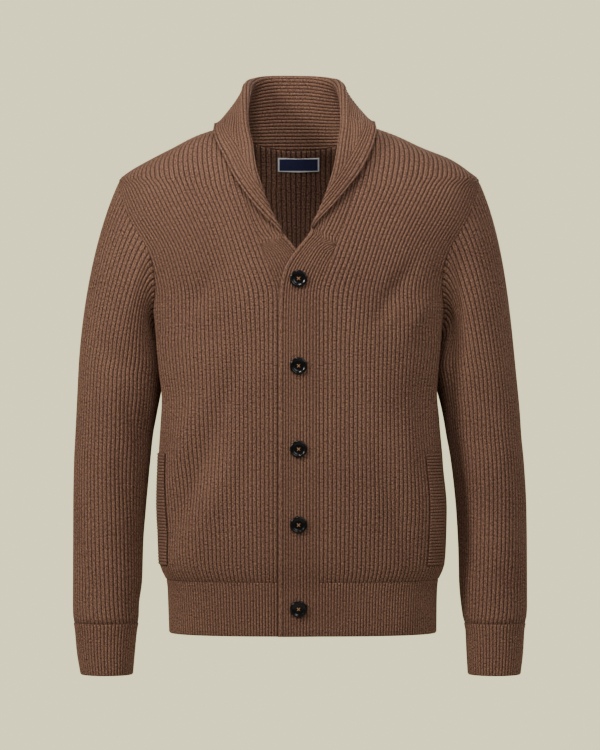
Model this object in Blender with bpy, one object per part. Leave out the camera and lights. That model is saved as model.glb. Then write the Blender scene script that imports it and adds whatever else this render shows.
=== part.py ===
"""Shawl collar cardigan, worn and buttoned, with no wearer in it.

Metres. +Z is up and the fronts face -Y, so the wearer's left is +X. The origin is the middle of the
neck opening, on the plane of the shoulder seams, level with the back neck seam.

Each piece is a knitted wall of one thickness, laid on the garment's form. The form is a stack of
rounded-box rings, and a wale number says how far round a ring a point is, so that a column of points
climbs the cloth as a wale does.
"""

import bpy
import numpy as np
from mathutils import Matrix, Vector
from mathutils.bvhtree import BVHTree
from mathutils.kdtree import KDTree

# ---------------------------------------------------------------- sizes
WALL = 0.0024  # thickness of the ribbed cloth
SEAM_GAP = 0.0007  # between two pieces along a seam
LAYER_GAP = 0.0005  # between a piece and the one that it lies on
LEFT, RIGHT = 1, -1  # wearer's left is +X
FRONT, BACK = -1, 1

HEM_BOTTOM = -0.645
HEM_SEAM = -0.574  # ribbed hem meets the body
ARMPIT = -0.250
ARMHOLE_TURN = -0.144  # above it the armhole climbs along one wale
SHOULDER_POINT = -0.045
NECK_POINT = 0.0315  # top of the shoulder seam
NECK_HALF_WIDTH = 0.082
NECK_HOLLOW = 2.2  # how squarely the back neck drops from its sides
DENT_HALF_WIDTH = 0.065  # hollow under the arm, measured front to back
CUFF_SEAM = -0.632
CUFF_BOTTOM = -0.7005
BICEP = -0.300  # the sleeve hangs as plain rings from here down
BAND_HALF_WIDTH = 0.0266  # buttoned band, from the centre line to its free edge
FOLD_RADIUS = 0.0058  # of the collar's roll
LEAST_RADIUS = 0.0020  # of the roll where the collar runs out

BUTTON_RADIUS = 0.0112
BUTTON_THICKNESS = 0.0036
BUTTON_SIDES = 24
BUTTON_HEIGHTS = (-0.1777, -0.2911, -0.3994, -0.4980, -0.6082)
DISH = 0.60  # how high the button's dished middle stands, of its thickness
HOLE_RADIUS = 0.0010
HOLE_SIDES = 10
HOLE_OFFSET = 0.0016  # from the button's middle, along X and along Z
THREAD_WIDTH = 0.0010

LABEL_THICKNESS = 0.0006


class Table:
    """Rows of numbers under named columns, read between its rows along a smooth curve."""

    def __init__(self, names, rows):
        self.names = names.split()
        self.rows = np.array(rows, float)

    def at(self, name, key):
        """Column `name` where the first column is `key`. It never overshoots a row."""
        x = self.rows[:, 0]
        y = self.rows[:, self.names.index(name)]
        key = np.clip(np.asarray(key, float), x[0], x[-1])
        step = np.diff(x)
        rise = np.diff(y) / step
        slope = np.zeros_like(y)
        same = rise[1:] * rise[:-1] > 0
        before, after = rise[:-1][same], rise[1:][same]
        slope[1:-1][same] = 2 * before * after / (before + after)
        slope[0], slope[-1] = rise[0], rise[-1]
        i = np.clip(np.searchsorted(x, key) - 1, 0, len(x) - 2)
        t = (key - x[i]) / step[i]
        return (
            y[i] * (1 + 2 * t) * (1 - t) ** 2
            + slope[i] * step[i] * t * (1 - t) ** 2
            + y[i + 1] * t**2 * (3 - 2 * t)
            - slope[i + 1] * step[i] * t**2 * (1 - t)
        )


# Half widths and depths of the body at each height. `dent` is the hollow under the arm.
BODY = Table(
    "z right_half left_half front back square dent",
    (
        (-0.645, 0.1710, 0.1825, 0.101, 0.097, 2.7, 0.000),
        (-0.610, 0.1722, 0.1828, 0.104, 0.100, 2.7, 0.000),
        (-0.580, 0.1735, 0.1838, 0.107, 0.102, 2.7, 0.000),
        (-0.555, 0.1835, 0.1930, 0.114, 0.108, 2.8, 0.000),
        (-0.530, 0.1865, 0.1950, 0.117, 0.110, 2.8, 0.000),
        (-0.480, 0.1872, 0.1962, 0.120, 0.112, 2.8, 0.000),
        (-0.420, 0.1850, 0.1910, 0.121, 0.113, 2.8, 0.000),
        (-0.360, 0.1843, 0.1885, 0.122, 0.114, 2.7, 0.003),
        (-0.330, 0.1870, 0.1895, 0.122, 0.115, 2.6, 0.010),
        (-0.300, 0.1925, 0.1930, 0.122, 0.115, 2.6, 0.018),
        (-0.270, 0.1965, 0.1965, 0.122, 0.116, 2.6, 0.024),
        (-0.250, 0.1980, 0.1980, 0.122, 0.116, 2.6, 0.024),
        (-0.220, 0.2000, 0.2000, 0.122, 0.116, 2.6, 0.016),
        (-0.195, 0.2040, 0.2040, 0.121, 0.116, 2.5, 0.006),
        (-0.166, 0.2140, 0.2140, 0.1205, 0.1155, 2.5, 0.000),
        (-0.144, 0.2238, 0.2238, 0.1195, 0.115, 2.5, 0.000),
        (-0.1075, 0.2366, 0.2366, 0.1155, 0.111, 2.5, 0.000),
        (-0.0875, 0.2396, 0.2396, 0.112, 0.108, 2.5, 0.000),
        (-0.065, 0.2400, 0.2400, 0.106, 0.103, 2.5, 0.000),
        (-0.045, 0.2380, 0.2395, 0.099, 0.097, 2.4, 0.000),
        (-0.0333, 0.2250, 0.2265, 0.094, 0.093, 2.4, 0.000),
        (-0.0173, 0.1975, 0.2035, 0.087, 0.087, 2.3, 0.000),
        (-0.0013, 0.1665, 0.1640, 0.080, 0.078, 2.3, 0.000),
        (0.0146, 0.1355, 0.1300, 0.072, 0.070, 2.2, 0.000),
        (0.0315, 0.0820, 0.0820, 0.060, 0.058, 2.2, 0.000),
    ),
)

# How far the armhole seam lies in front of and behind the shoulder plane.
ARMHOLE = Table(
    "z front back",
    (
        (-0.250, 0.0000, 0.0000),
        (-0.240, 0.0260, 0.0260),
        (-0.220, 0.0460, 0.0450),
        (-0.195, 0.0610, 0.0590),
        (-0.166, 0.0700, 0.0660),
        (-0.144, 0.0728, 0.0670),
        (-0.1245, 0.0684, 0.0630),
        (-0.1075, 0.0610, 0.0570),
        (-0.0875, 0.0495, 0.0470),
        (-0.065, 0.0340, 0.0330),
        (-0.052, 0.0200, 0.0200),
        (-0.045, 0.0000, 0.0000),
    ),
)

# Wales from the centre to the side seam or armhole, on one front and on half the back.
WALES = Table(
    "z front back",
    (
        (-0.645, 42.0, 46.0),
        (-0.250, 42.0, 46.0),
        (-0.240, 37.7, 42.9),
        (-0.220, 34.4, 40.6),
        (-0.195, 31.9, 39.0),
        (-0.166, 30.5, 38.2),
        (-0.144, 30.0, 38.0),
        (0.040, 30.0, 38.0),
    ),
)

# Where each front's inner edge meets the band and collar.
FRONT_EDGE = Table(
    "z x",
    (
        (-0.645, 0.0273),
        (-0.205, 0.0273),
        (-0.190, 0.0286),
        (-0.177, 0.0326),
        (-0.153, 0.0419),
        (-0.1237, 0.0525),
        (-0.0878, 0.0658),
        (-0.0612, 0.0745),
        (-0.0372, 0.0800),
        (-0.0173, 0.0828),
        (0.0027, 0.0835),
        (0.0315, 0.0820),
    ),
)

# The way the sleeve leaves the armhole seam, by how far round the seam it is from the shoulder.
CAP = Table(
    "round out inward down length",
    (
        (0.00, 0.42, 0.00, 0.91, 0.24),
        (0.12, 0.42, 0.00, 0.90, 0.20),
        (0.25, 0.55, 0.06, 0.83, 0.14),
        (0.33, 0.70, 0.12, 0.70, 0.10),
        (0.42, 0.60, 0.15, 0.78, 0.07),
        (0.50, 0.40, 0.00, 0.92, 0.05),
    ),
)

# The sleeves below the bicep: outer and inner edge seen from the front, half depth and middle.
SLEEVE = Table(
    "z left_outer left_inner right_outer right_inner depth middle",
    (
        (-0.7005, 0.2940, 0.2262, 0.2885, 0.2212, 0.039, -0.014),
        (-0.6717, 0.2975, 0.2245, 0.2935, 0.2187, 0.041, -0.013),
        (-0.6397, 0.2995, 0.2230, 0.2965, 0.2155, 0.044, -0.012),
        (-0.632, 0.3010, 0.2212, 0.2978, 0.2140, 0.046, -0.012),
        (-0.608, 0.3030, 0.2175, 0.2990, 0.2133, 0.048, -0.010),
        (-0.576, 0.3030, 0.2147, 0.2990, 0.2093, 0.050, -0.008),
        (-0.528, 0.3030, 0.2133, 0.2990, 0.2080, 0.052, -0.005),
        (-0.4801, 0.3025, 0.2107, 0.2990, 0.2045, 0.054, -0.002),
        (-0.4163, 0.2990, 0.2040, 0.2980, 0.1987, 0.057, 0.000),
        (-0.3844, 0.2960, 0.1985, 0.2965, 0.1955, 0.058, 0.002),
        (-0.3525, 0.2940, 0.1930, 0.2950, 0.1897, 0.060, 0.003),
        (-0.300, 0.2890, 0.1795, 0.2925, 0.1795, 0.062, 0.003),
    ),
)

# The band and collar, by place along its seam: 0 is the back of the neck, 1 the shoulder seam, 2 the
# armhole turn's height and 3 the hem. The fold is the top of the roll, the edge is the free edge,
# `lift` holds that edge off the cloth behind it and `rolled` says how far the strip is turned over.
STRIP_NAMES = "place fold_x fold_y fold_z edge_x edge_z face lift rolled"
LEFT_STRIP = Table(
    STRIP_NAMES,
    (
        (0.00, -0.0055, 0.0800, 0.1012, 0.0000, -0.0140, 1, 0.007, 1.0),
        (0.25, 0.0140, 0.0790, 0.1008, 0.0270, -0.0130, 1, 0.0075, 1.0),
        (0.50, 0.0330, 0.0715, 0.0990, 0.0520, -0.0080, 1, 0.0075, 1.0),
        (0.75, 0.0470, 0.0540, 0.0950, 0.0800, 0.0050, 1, 0.0075, 1.0),
        (1.00, 0.0545, 0.0120, 0.0830, 0.0985, 0.0275, 1, 0.0075, 1.0),
        (1.055, 0.0562, -0.0230, 0.0580, 0.0993, 0.0146, -1, 0.0095, 1.0),
        (1.16, 0.0566, -0.0510, 0.0320, 0.0975, -0.0010, -1, 0.0095, 1.0),
        (1.32, 0.0525, -0.0795, 0.0010, 0.0900, -0.0225, -1, 0.0095, 1.0),
        (1.48, 0.0472, -0.1020, -0.0310, 0.0790, -0.0425, -1, 0.0095, 1.0),
        (1.60, 0.0401, -0.1135, -0.0555, 0.0640, -0.0615, -1, 0.0095, 1.0),
        (1.74, 0.0308, -0.1180, -0.0795, 0.0460, -0.0825, -1, 0.0095, 1.0),
        (1.85, 0.0211, -0.1205, -0.1010, 0.0262, -0.1022, -1, 0.007, 1.0),
        (1.90, 0.0168, -0.1215, -0.1100, 0.0185, -0.1105, -1, 0.005, 1.0),
        (1.95, 0.0133, -0.1250, -0.1182, 0.0134, -0.1184, -1, 0.002, 0.0),
        (2.02, 0.0007, -0.1250, -0.1345, 0.0007, -0.1345, -1, 0.0015, 0.0),
        (2.05, -0.0100, -0.1250, -0.1480, -0.0100, -0.1480, -1, 0.0025, 0.0),
        (2.09, -0.0190, -0.1250, -0.1640, -0.0190, -0.1640, -1, 0.0032, 0.0),
        (2.14, -0.0250, -0.1250, -0.1900, -0.0250, -0.1900, -1, 0.0032, 0.0),
        (2.21, -0.0266, -0.1250, -0.2400, -0.0266, -0.2400, -1, 0.0032, 0.0),
        (2.28, -0.0266, -0.1250, -0.2843, -0.0266, -0.2843, -1, 0.0032, 0.0),
        (3.00, -0.0266, -0.1250, -0.6450, -0.0266, -0.6450, -1, 0.0032, 0.0),
    ),
)
RIGHT_STRIP = Table(
    STRIP_NAMES,
    (
        (0.00, 0.0055, 0.0800, 0.1012, 0.0000, -0.0140, 1, 0.006, 1.0),
        (0.25, 0.0255, 0.0790, 0.1012, 0.0280, -0.0130, 1, 0.0075, 1.0),
        (0.50, 0.0445, 0.0715, 0.1000, 0.0560, -0.0080, 1, 0.0075, 1.0),
        (0.75, 0.0590, 0.0540, 0.0960, 0.0880, 0.0030, 1, 0.0075, 1.0),
        (1.00, 0.0671, 0.0120, 0.0840, 0.1150, 0.0245, 1, 0.007, 1.0),
        (1.055, 0.0677, -0.0230, 0.0575, 0.1097, 0.0146, -1, 0.0075, 1.0),
        (1.16, 0.0670, -0.0510, 0.0310, 0.1050, -0.0020, -1, 0.0075, 1.0),
        (1.32, 0.0606, -0.0790, -0.0010, 0.0965, -0.0200, -1, 0.0075, 1.0),
        (1.48, 0.0563, -0.1010, -0.0310, 0.0860, -0.0420, -1, 0.0075, 1.0),
        (1.60, 0.0486, -0.1125, -0.0560, 0.0715, -0.0640, -1, 0.0080, 1.0),
        (1.74, 0.0381, -0.1175, -0.0830, 0.0510, -0.0900, -1, 0.0085, 1.0),
        (1.85, 0.0264, -0.1200, -0.1065, 0.0315, -0.1090, -1, 0.007, 1.0),
        (1.90, 0.0198, -0.1215, -0.1160, 0.0218, -0.1170, -1, 0.005, 1.0),
        (1.95, 0.0123, -0.1250, -0.1262, 0.0124, -0.1264, -1, 0.001, 0.0),
        (2.02, -0.0030, -0.1250, -0.1465, -0.0030, -0.1465, -1, -0.0015, 0.0),
        (2.05, -0.0105, -0.1250, -0.1600, -0.0105, -0.1600, -1, -0.0025, 0.0),
        (2.09, -0.0170, -0.1250, -0.1760, -0.0170, -0.1760, -1, -0.0032, 0.0),
        (2.14, -0.0225, -0.1250, -0.2000, -0.0225, -0.2000, -1, -0.0032, 0.0),
        (2.21, -0.0250, -0.1250, -0.2430, -0.0250, -0.2430, -1, -0.0032, 0.0),
        (2.28, -0.0250, -0.1250, -0.2843, -0.0250, -0.2843, -1, -0.0032, 0.0),
        (3.00, -0.0250, -0.1250, -0.6450, -0.0250, -0.6450, -1, -0.0032, 0.0),
    ),
)

# ---------------------------------------------------------------- where the corners of the facets go
FRONT_WALES = (0, 5, 10, 16, 22, 27, 30)  # columns that reach the shoulder seam
FRONT_SIDE_WALES = (33, 36, 39, 42)  # columns that end under the arm
NECK_SHARES = (0.0, 0.25, 0.5, 0.75)  # columns that end on the back neck, of its half width
BACK_SIDE_WALES = (40, 42, 44, 46)
HEM_ROWS = (-0.645, -0.610, -0.574)
BODY_ROWS = (-0.574, -0.553, -0.504, -0.455, -0.406, -0.350, -0.300)
UNDERARM_SHARES = (0.25, 0.5, 0.75, 1.0)
CHEST_SHARES = (0.1, 0.2, 0.32, 0.48, 0.64, 0.81, 0.935, 1.0)
CAP_SHARES = (0.0, 0.12, 0.3, 0.52, 0.76, 1.0)
SLEEVE_ROWS = (-0.355, -0.410, -0.465, -0.520, -0.576, -0.632)
CUFF_ROWS = (-0.632, -0.667, -0.7005)
ROLL_START, ROLL_END = 0.42, 0.58  # the shares of the strip's width that the collar's roll takes
STRIP_SHARES = (0.0, 0.24, 0.42, 0.475, 0.525, 0.58, 0.72, 0.86, 1.0)
BREAK = 2.02  # place where the two free edges cross
COLLAR_END = 2.2  # place below which the strip is a plain band
POCKET_WALES = {LEFT: (27, 30, 33), RIGHT: (30, 33, 36)}
POCKET_ROWS = (-0.553, -0.504, -0.455, -0.406)


def half_width(z, side):
    return BODY.at("left_half" if side == LEFT else "right_half", z)


def depth(z, face):
    return BODY.at("front" if face == FRONT else "back", z)


def ring(z, side, face, turn):
    """Point of the form at height z, a share `turn` of a quarter turn from the centre to the side."""
    power = 2 / BODY.at("square", z)
    x = half_width(z, side) * np.sin(turn * np.pi / 2) ** power
    y = depth(z, face) * np.cos(turn * np.pi / 2) ** power
    near = np.clip(y / DENT_HALF_WIDTH, 0, 1)
    x = x - BODY.at("dent", z) * np.cos(near * np.pi / 2) ** 2
    return np.stack([side * x, face * y, z + 0 * x], -1)


def row_ends(z, side, face):
    """Turns at which a row of one panel starts and ends."""
    square = BODY.at("square", z)
    start = 0 * z
    if face == FRONT:
        inner = np.clip(FRONT_EDGE.at("x", z) / half_width(z, side), 0, 1)
        start = np.arcsin(inner ** (square / 2)) / (np.pi / 2)
    outer = ARMHOLE.at("front" if face == FRONT else "back", z) / depth(z, face)
    return start, np.arccos(outer ** (square / 2)) / (np.pi / 2)


def row_lengths(z, side, face, count=161):
    """Points along each row and the length of cloth up to each of them."""
    start, end = row_ends(z, side, face)
    turn = start[..., None] + (end - start)[..., None] * np.linspace(0, 1, count)
    points = ring(z[..., None] + 0 * turn, side, face, turn)
    steps = np.linalg.norm(np.diff(points, axis=-2), axis=-1)
    length = np.concatenate([0 * z[..., None], np.cumsum(steps, axis=-1)], -1)
    return points, length


def wale_pitch(z, side, face):
    """Width of one wale. Over the shoulder it stays as it is at the shoulder point."""
    z = np.minimum(z, SHOULDER_POINT)
    _, length = row_lengths(z, side, face)
    return length[..., -1] / WALES.at("front" if face == FRONT else "back", z)


def cloth(wale, z, side, face):
    """Points of one panel at these wales and heights, arrays of one shape."""
    wale, z = np.broadcast_arrays(np.asarray(wale, float), np.asarray(z, float))
    points, length = row_lengths(z, side, face)
    end = length[..., -1]
    along = wale * wale_pitch(z, side, face)
    along = np.where(along > end - 1e-4, end, along)
    i = np.clip((length < along[..., None]).sum(-1) - 1, 0, length.shape[-1] - 2)[..., None]
    low = np.take_along_axis(length, i, -1)[..., 0]
    high = np.take_along_axis(length, i + 1, -1)[..., 0]
    share = ((along - low) / np.maximum(high - low, 1e-12))[..., None]
    before = np.take_along_axis(points, i[..., None], -2)[..., 0, :]
    after = np.take_along_axis(points, i[..., None] + 1, -2)[..., 0, :]
    return before * (1 - share) + after * share


def neck_wale(side):
    """Wale of the back that reaches the top of the shoulder seam."""
    return shoulder_wale(NECK_POINT, side, BACK)[0]


def shoulder_wale(z, side, face):
    """Wale that ends on the shoulder seam at height z."""
    z = np.atleast_1d(np.asarray(z, float))
    _, length = row_lengths(z, side, face)
    return length[:, -1] / wale_pitch(z, side, face)


def top_of(wale, side, face):
    """Height at which each wale ends: the neck, the shoulder seam or the lower armhole."""
    wale = np.asarray(wale, float)
    name = "front" if face == FRONT else "back"
    z = np.linspace(NECK_POINT, SHOULDER_POINT, 200)
    top = np.interp(wale, shoulder_wale(z, side, face), z)
    if face == BACK:
        neck = neck_wale(side)
        top = np.where(wale < neck, NECK_POINT * (wale / neck) ** NECK_HOLLOW, top)
    low = np.linspace(ARMHOLE_TURN, ARMPIT, 100)
    under = np.interp(wale, WALES.at(name, low), low)
    return np.where(wale > WALES.at(name, ARMHOLE_TURN), under, top)


def body_rows(wales, side, face):
    """Heights of every row of facets at each wale, from the hem seam up."""
    wales = np.asarray(wales, float)
    top = top_of(wales, side, face)
    turn = np.minimum(top, ARMHOLE_TURN)
    rows = [0 * wales + z for z in BODY_ROWS]
    rows += [BICEP + (turn - BICEP) * share for share in UNDERARM_SHARES]
    rows += [turn + (top - turn) * share for share in CHEST_SHARES]
    return np.array(rows)


def grid_faces(rows, columns, keep=None, flip=False):
    """Corner numbers of the facets of a grid. `keep` drops some of them."""
    number = np.arange(rows * columns).reshape(rows, columns)
    faces = np.stack([number[:-1, :-1], number[:-1, 1:], number[1:, 1:], number[1:, :-1]], -1)
    if flip:
        faces = faces[..., ::-1]
    return faces[keep] if keep is not None else faces.reshape(-1, 4)


def tidy(points, faces):
    """Drops points that no facet uses, and joins points at one place."""
    points = points.reshape(-1, 3)
    _, first, same = np.unique(np.round(points, 7), axis=0, return_index=True, return_inverse=True)
    faces = same.reshape(-1)[faces]
    used, faces = np.unique(faces, return_inverse=True)
    return points[first][used], faces.reshape(-1, 4)


def panel_grid(wales, face, side):
    """One panel as a grid, with the facets above the lower armhole left out."""
    rows = body_rows(wales, side, face)
    points = cloth(np.asarray(wales)[None, :] + 0 * rows, rows, side, face)
    turn_row = len(BODY_ROWS) - 1 + len(UNDERARM_SHARES)
    keep = np.ones((len(rows) - 1, len(wales) - 1), bool)
    last = WALES.at("front" if face == FRONT else "back", ARMHOLE_TURN)
    keep[turn_row:, np.asarray(wales)[:-1] >= last - 1e-6] = False
    return points, keep


def front_wales():
    return np.array(FRONT_WALES + FRONT_SIDE_WALES, float)


def back_wales(side):
    neck = neck_wale(side) * np.array(NECK_SHARES)
    shoulder = shoulder_wale(top_of(FRONT_WALES, side, FRONT), side, BACK)
    return np.concatenate([neck, shoulder, BACK_SIDE_WALES])


def front_panel(side):
    points, keep = panel_grid(front_wales(), FRONT, side)
    return tidy(points, grid_faces(*points.shape[:2], keep, side == RIGHT))


def both_sides(left, right):
    """A grid of the left half and one of the right, joined at their first column."""
    return np.concatenate([right[:, :0:-1], left], 1)


def back_panel():
    left, keep = panel_grid(back_wales(LEFT), BACK, LEFT)
    right, _ = panel_grid(back_wales(RIGHT), BACK, RIGHT)
    points = both_sides(left, right)
    keep = np.concatenate([keep[:, ::-1], keep], 1)
    return tidy(points, grid_faces(*points.shape[:2], keep, True))


def hem_half(side, face):
    wales = front_wales() if face == FRONT else back_wales(side)
    rows = np.array(HEM_ROWS)[:, None] + 0 * wales
    return cloth(wales[None, :] + 0 * rows, rows, side, face)


def hem_front(side):
    points = hem_half(side, FRONT)
    return tidy(points, grid_faces(*points.shape[:2], None, side == RIGHT))


def hem_back():
    points = both_sides(hem_half(LEFT, BACK), hem_half(RIGHT, BACK))
    return tidy(points, grid_faces(*points.shape[:2], None, True))


def armhole(side, face):
    """The armhole seam from the shoulder point down to the armpit."""
    last = float(WALES.at("front" if face == FRONT else "back", ARMHOLE_TURN))
    side_wales = FRONT_SIDE_WALES if face == FRONT else BACK_SIDE_WALES
    high = ARMHOLE_TURN + (SHOULDER_POINT - ARMHOLE_TURN) * np.array(CHEST_SHARES[::-1])
    heights = np.concatenate([high, [ARMHOLE_TURN], top_of(side_wales, side, face)])
    wales = np.concatenate([0 * high + last, [last], side_wales])
    return cloth(wales, heights, side, face)


def sleeve_ring(z, side, around):
    """A hanging ring of the sleeve. `around` 0 is its outer edge, 0.25 its front, 0.5 its inner edge."""
    name = "left" if side == LEFT else "right"
    outer, inner = SLEEVE.at(name + "_outer", z), SLEEVE.at(name + "_inner", z)
    angle = around * 2 * np.pi
    x = (outer + inner) / 2 + (outer - inner) / 2 * np.cos(angle)
    y = SLEEVE.at("middle", z) - SLEEVE.at("depth", z) * np.sin(angle)
    return np.stack([side * x, y, z + 0 * x], -1)


def smooth_step(value, low, high):
    share = np.clip((value - low) / (high - low), 0, 1)
    return share * share * (3 - 2 * share)


def sleeve_top(side):
    """The armhole seam all round, and how far round it each point is, from the shoulder point."""
    front, back = armhole(side, FRONT), armhole(side, BACK)
    rounds = []
    for half in (front, back):
        steps = np.linalg.norm(np.diff(half, axis=0), axis=1)
        rounds.append(np.concatenate([[0], np.cumsum(steps)]) / steps.sum() / 2)
    seam = np.concatenate([front, back[-2:0:-1]])
    around = np.concatenate([rounds[0], 1 - rounds[1][-2:0:-1]])
    return seam, around


def sleeve_grid(side):
    """The sleeve from the armhole seam to the cuff: a curved cap, then hanging rings."""
    seam, around = sleeve_top(side)
    near = np.minimum(around, 1 - around)
    # Under the arm the sleeve doubles back beside the body, so it starts one wall further out.
    apart = np.where(seam[:, 2] < ARMHOLE_TURN - 0.001, WALL + LAYER_GAP, 0.0)
    start = seam + np.stack([side * apart, 0 * apart, 0 * apart], -1)
    leave = np.stack(
        [
            side * CAP.at("out", near),
            np.where(around < 0.5, 1, -1) * CAP.at("inward", near),
            -CAP.at("down", near),
        ],
        -1,
    )
    leave = leave * CAP.at("length", near)[:, None]
    bicep = sleeve_ring(np.full(len(around), BICEP), side, around)
    below = sleeve_ring(np.full(len(around), BICEP - 0.01), side, around)
    arrive = (below - bicep) / 0.01 * CAP.at("length", near)[:, None]
    rows = []
    for t in CAP_SHARES:
        rows.append(
            start * (1 + 2 * t) * (1 - t) ** 2
            + leave * t * (1 - t) ** 2
            + bicep * t**2 * (3 - 2 * t)
            - arrive * t**2 * (1 - t)
        )
    for z in SLEEVE_ROWS:
        rows.append(sleeve_ring(np.full(len(around), z), side, around))
    return np.array(rows), around


def tube(points, side):
    """A grid whose columns run all round, closed on itself."""
    points = np.concatenate([points, points[:, :1]], 1)
    return tidy(points, grid_faces(*points.shape[:2], None, side == RIGHT))


def sleeve(side):
    points, _ = sleeve_grid(side)
    return tube(points, side)


def cuff(side):
    _, around = sleeve_grid(side)
    rows = [sleeve_ring(np.full(len(around), z), side, around) for z in CUFF_ROWS]
    return tube(np.array(rows), side)


def form_point(x, z, side, face):
    """The form at a distance x from the centre line, and its outward direction there."""
    z = np.asarray(z, float)
    square = BODY.at("square", z)
    share = np.clip(np.abs(x) / half_width(z, side), 0, 1)
    turn = np.arcsin(share ** (square / 2)) / (np.pi / 2)
    here = ring(z, side, face, turn)
    small = 1e-4
    up = ring(z + small, side, face, turn) - ring(z - small, side, face, turn)
    one, two = np.clip(turn - 0.002, 1e-4, 1), np.clip(turn + 0.002, 1e-4, 1)
    across = ring(z, side, face, two) - ring(z, side, face, one)
    out = np.cross(across, up) * side * -face
    return here, out / np.linalg.norm(out, axis=-1, keepdims=True)


def off_form(points, least):
    """Points moved straight out of the form until each is at least this far from it."""

    def swell(p):
        z = np.minimum(p[..., 2], NECK_POINT)
        half = np.where(p[..., 0] > 0, half_width(z, LEFT), half_width(z, RIGHT))
        deep = np.where(p[..., 1] < 0, depth(z, FRONT), depth(z, BACK))
        square = BODY.at("square", z)
        total = (np.abs(p[..., 0]) / half) ** square + (np.abs(p[..., 1]) / deep) ** square
        return total ** (1 / square) - 1

    step = 1e-4
    for _ in range(4):
        slope = [(swell(points + move) - swell(points - move)) / (2 * step) for move in np.eye(3) * step]
        slope = np.stack(slope, -1)
        steep = np.linalg.norm(slope, axis=-1)
        short = np.clip(least - swell(points) / steep, 0, 0.02)
        short = short * smooth_step(NECK_POINT + 0.006 - points[..., 2], 0, 0.010)
        points = points + slope / steep[..., None] * short[..., None]
    return points


def strip_seam(side):
    """The seam of the band and collar on one side, from the back of the neck to the hem."""
    neck = neck_wale(side) * np.array(NECK_SHARES)
    points = [cloth(neck, top_of(neck, side, BACK), side, BACK)]
    places = [np.array(NECK_SHARES)]
    heights = body_rows([0.0], side, FRONT)[::-1, 0]
    heights = np.concatenate([heights, HEM_ROWS[-2::-1]])
    points.append(cloth(0 * heights, heights, side, FRONT))
    upper = 1 + (NECK_POINT - heights) / (NECK_POINT - ARMHOLE_TURN)
    lower = 2 + (ARMHOLE_TURN - heights) / (ARMHOLE_TURN - HEM_BOTTOM)
    places.append(np.where(heights > ARMHOLE_TURN, upper, lower))
    return np.concatenate(points), np.concatenate(places)


def edge_on_form(known, side):
    """A point of the strip's free edge: on the form at its x and z, then lifted off it."""
    face = FRONT if known["face"] < 0 else BACK
    here, out = form_point(known["edge_x"], known["edge_z"], side, face)
    return (here + out * known["lift"]) * np.array([-1 if known["edge_x"] < 0 else 1, 1, 1])


def bend(start, pull, end, share):
    """Points along a curve from start to end that leans towards `pull` on its way."""
    share = np.clip(share, 0, 1)
    leaning = pull[:, None] * 2 * share * (1 - share)
    return start[:, None] * (1 - share) ** 2 + leaning + end[:, None] * share**2


def strip_grid(side):
    """Half of the band and collar: each row crosses it from its seam to its free edge."""
    table = LEFT_STRIP if side == LEFT else RIGHT_STRIP
    seam, place = strip_seam(side)
    # The collar takes a row between every two of the panels', its seam point on their straight edge.
    number = np.arange(len(place))
    rows = np.sort(np.concatenate([number, number[:-1][place[:-1] < COLLAR_END] + 0.5]))
    seam = np.stack([np.interp(rows, number, seam[:, i]) for i in range(3)], -1)
    place = np.interp(rows, number, place)
    # The collar's edge is found on the form at the table's own rows and followed smoothly between them.
    edges = [edge_on_form(dict(zip(table.names, row)), side) for row in table.rows]
    edge_table = Table("place x y z", np.column_stack([table.rows[:, 0], np.array(edges)]))
    edge = np.stack([edge_table.at(name, place) for name in "xyz"], -1)
    for i in np.flatnonzero(place > BREAK):
        edge[i] = edge_on_form({name: table.at(name, place[i]) for name in table.names[1:]}, side)
    fold = np.stack([table.at("fold_" + name, place) for name in "xyz"], -1) * [side, 1, 1]
    rolled = table.at("rolled", place)[:, None, None]
    # Three directions: along the strip, up the stand, and out from the neck.
    along = np.gradient(fold, axis=0)
    along /= np.linalg.norm(along, axis=1, keepdims=True)
    up = fold - seam
    up -= along * (up * along).sum(1, keepdims=True)
    up /= np.linalg.norm(up, axis=1, keepdims=True)
    out = np.cross(up, along) * side
    fall = np.linalg.norm(edge - fold, axis=1, keepdims=True)
    radius = np.maximum(FOLD_RADIUS * smooth_step(fall, 0.0, 0.045), LEAST_RADIUS)
    middle = fold - up * radius
    inner, outer = middle - out * radius, middle + out * radius
    share = np.array(STRIP_SHARES)[None, :, None]
    height = np.linalg.norm(inner - seam, axis=1, keepdims=True)
    stand = bend(seam, inner - up * 0.4 * height, inner, share / ROLL_START)
    turn = np.clip((share - ROLL_START) / (ROLL_END - ROLL_START), 0, 1) * np.pi
    roll = middle[:, None] + (np.sin(turn) * up[:, None] - np.cos(turn) * out[:, None]) * radius[:, None]
    # Round the neck the collar drops straight down from its roll. In front it lies back along its stand.
    lying = smooth_step(place, 1.0, 1.35)[:, None]
    down = -up * lying - np.array([0, 0, 1]) * (1 - lying)
    down /= np.linalg.norm(down, axis=1, keepdims=True)
    drop = bend(outer, outer + down * 0.14 * fall, edge, (share - ROLL_END) / (1 - ROLL_END))
    turned = np.where(share < ROLL_START, stand, np.where(share > ROLL_END, drop, roll))
    lift = table.at("lift", place)[:, None] * smooth_step(share[..., 0], ROLL_END, 0.86)
    turned = np.where((share >= ROLL_END) & (rolled > 0.4), off_form(turned, lift), turned)
    flat = seam[:, None] * (1 - share) + edge[:, None] * share
    # A flat strip still bends with the chest behind it.
    flat = flat + 4 * share * (1 - share) * 0.0012 * np.array([0, -1, 0])
    return flat * (1 - rolled) + turned * rolled


def band_and_collar():
    left, right = strip_grid(LEFT), strip_grid(RIGHT)
    left[0, :] = (left[0] + right[0]) / 2
    points = np.concatenate([right[:0:-1], left])
    return tidy(points, grid_faces(*points.shape[:2]))


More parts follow.
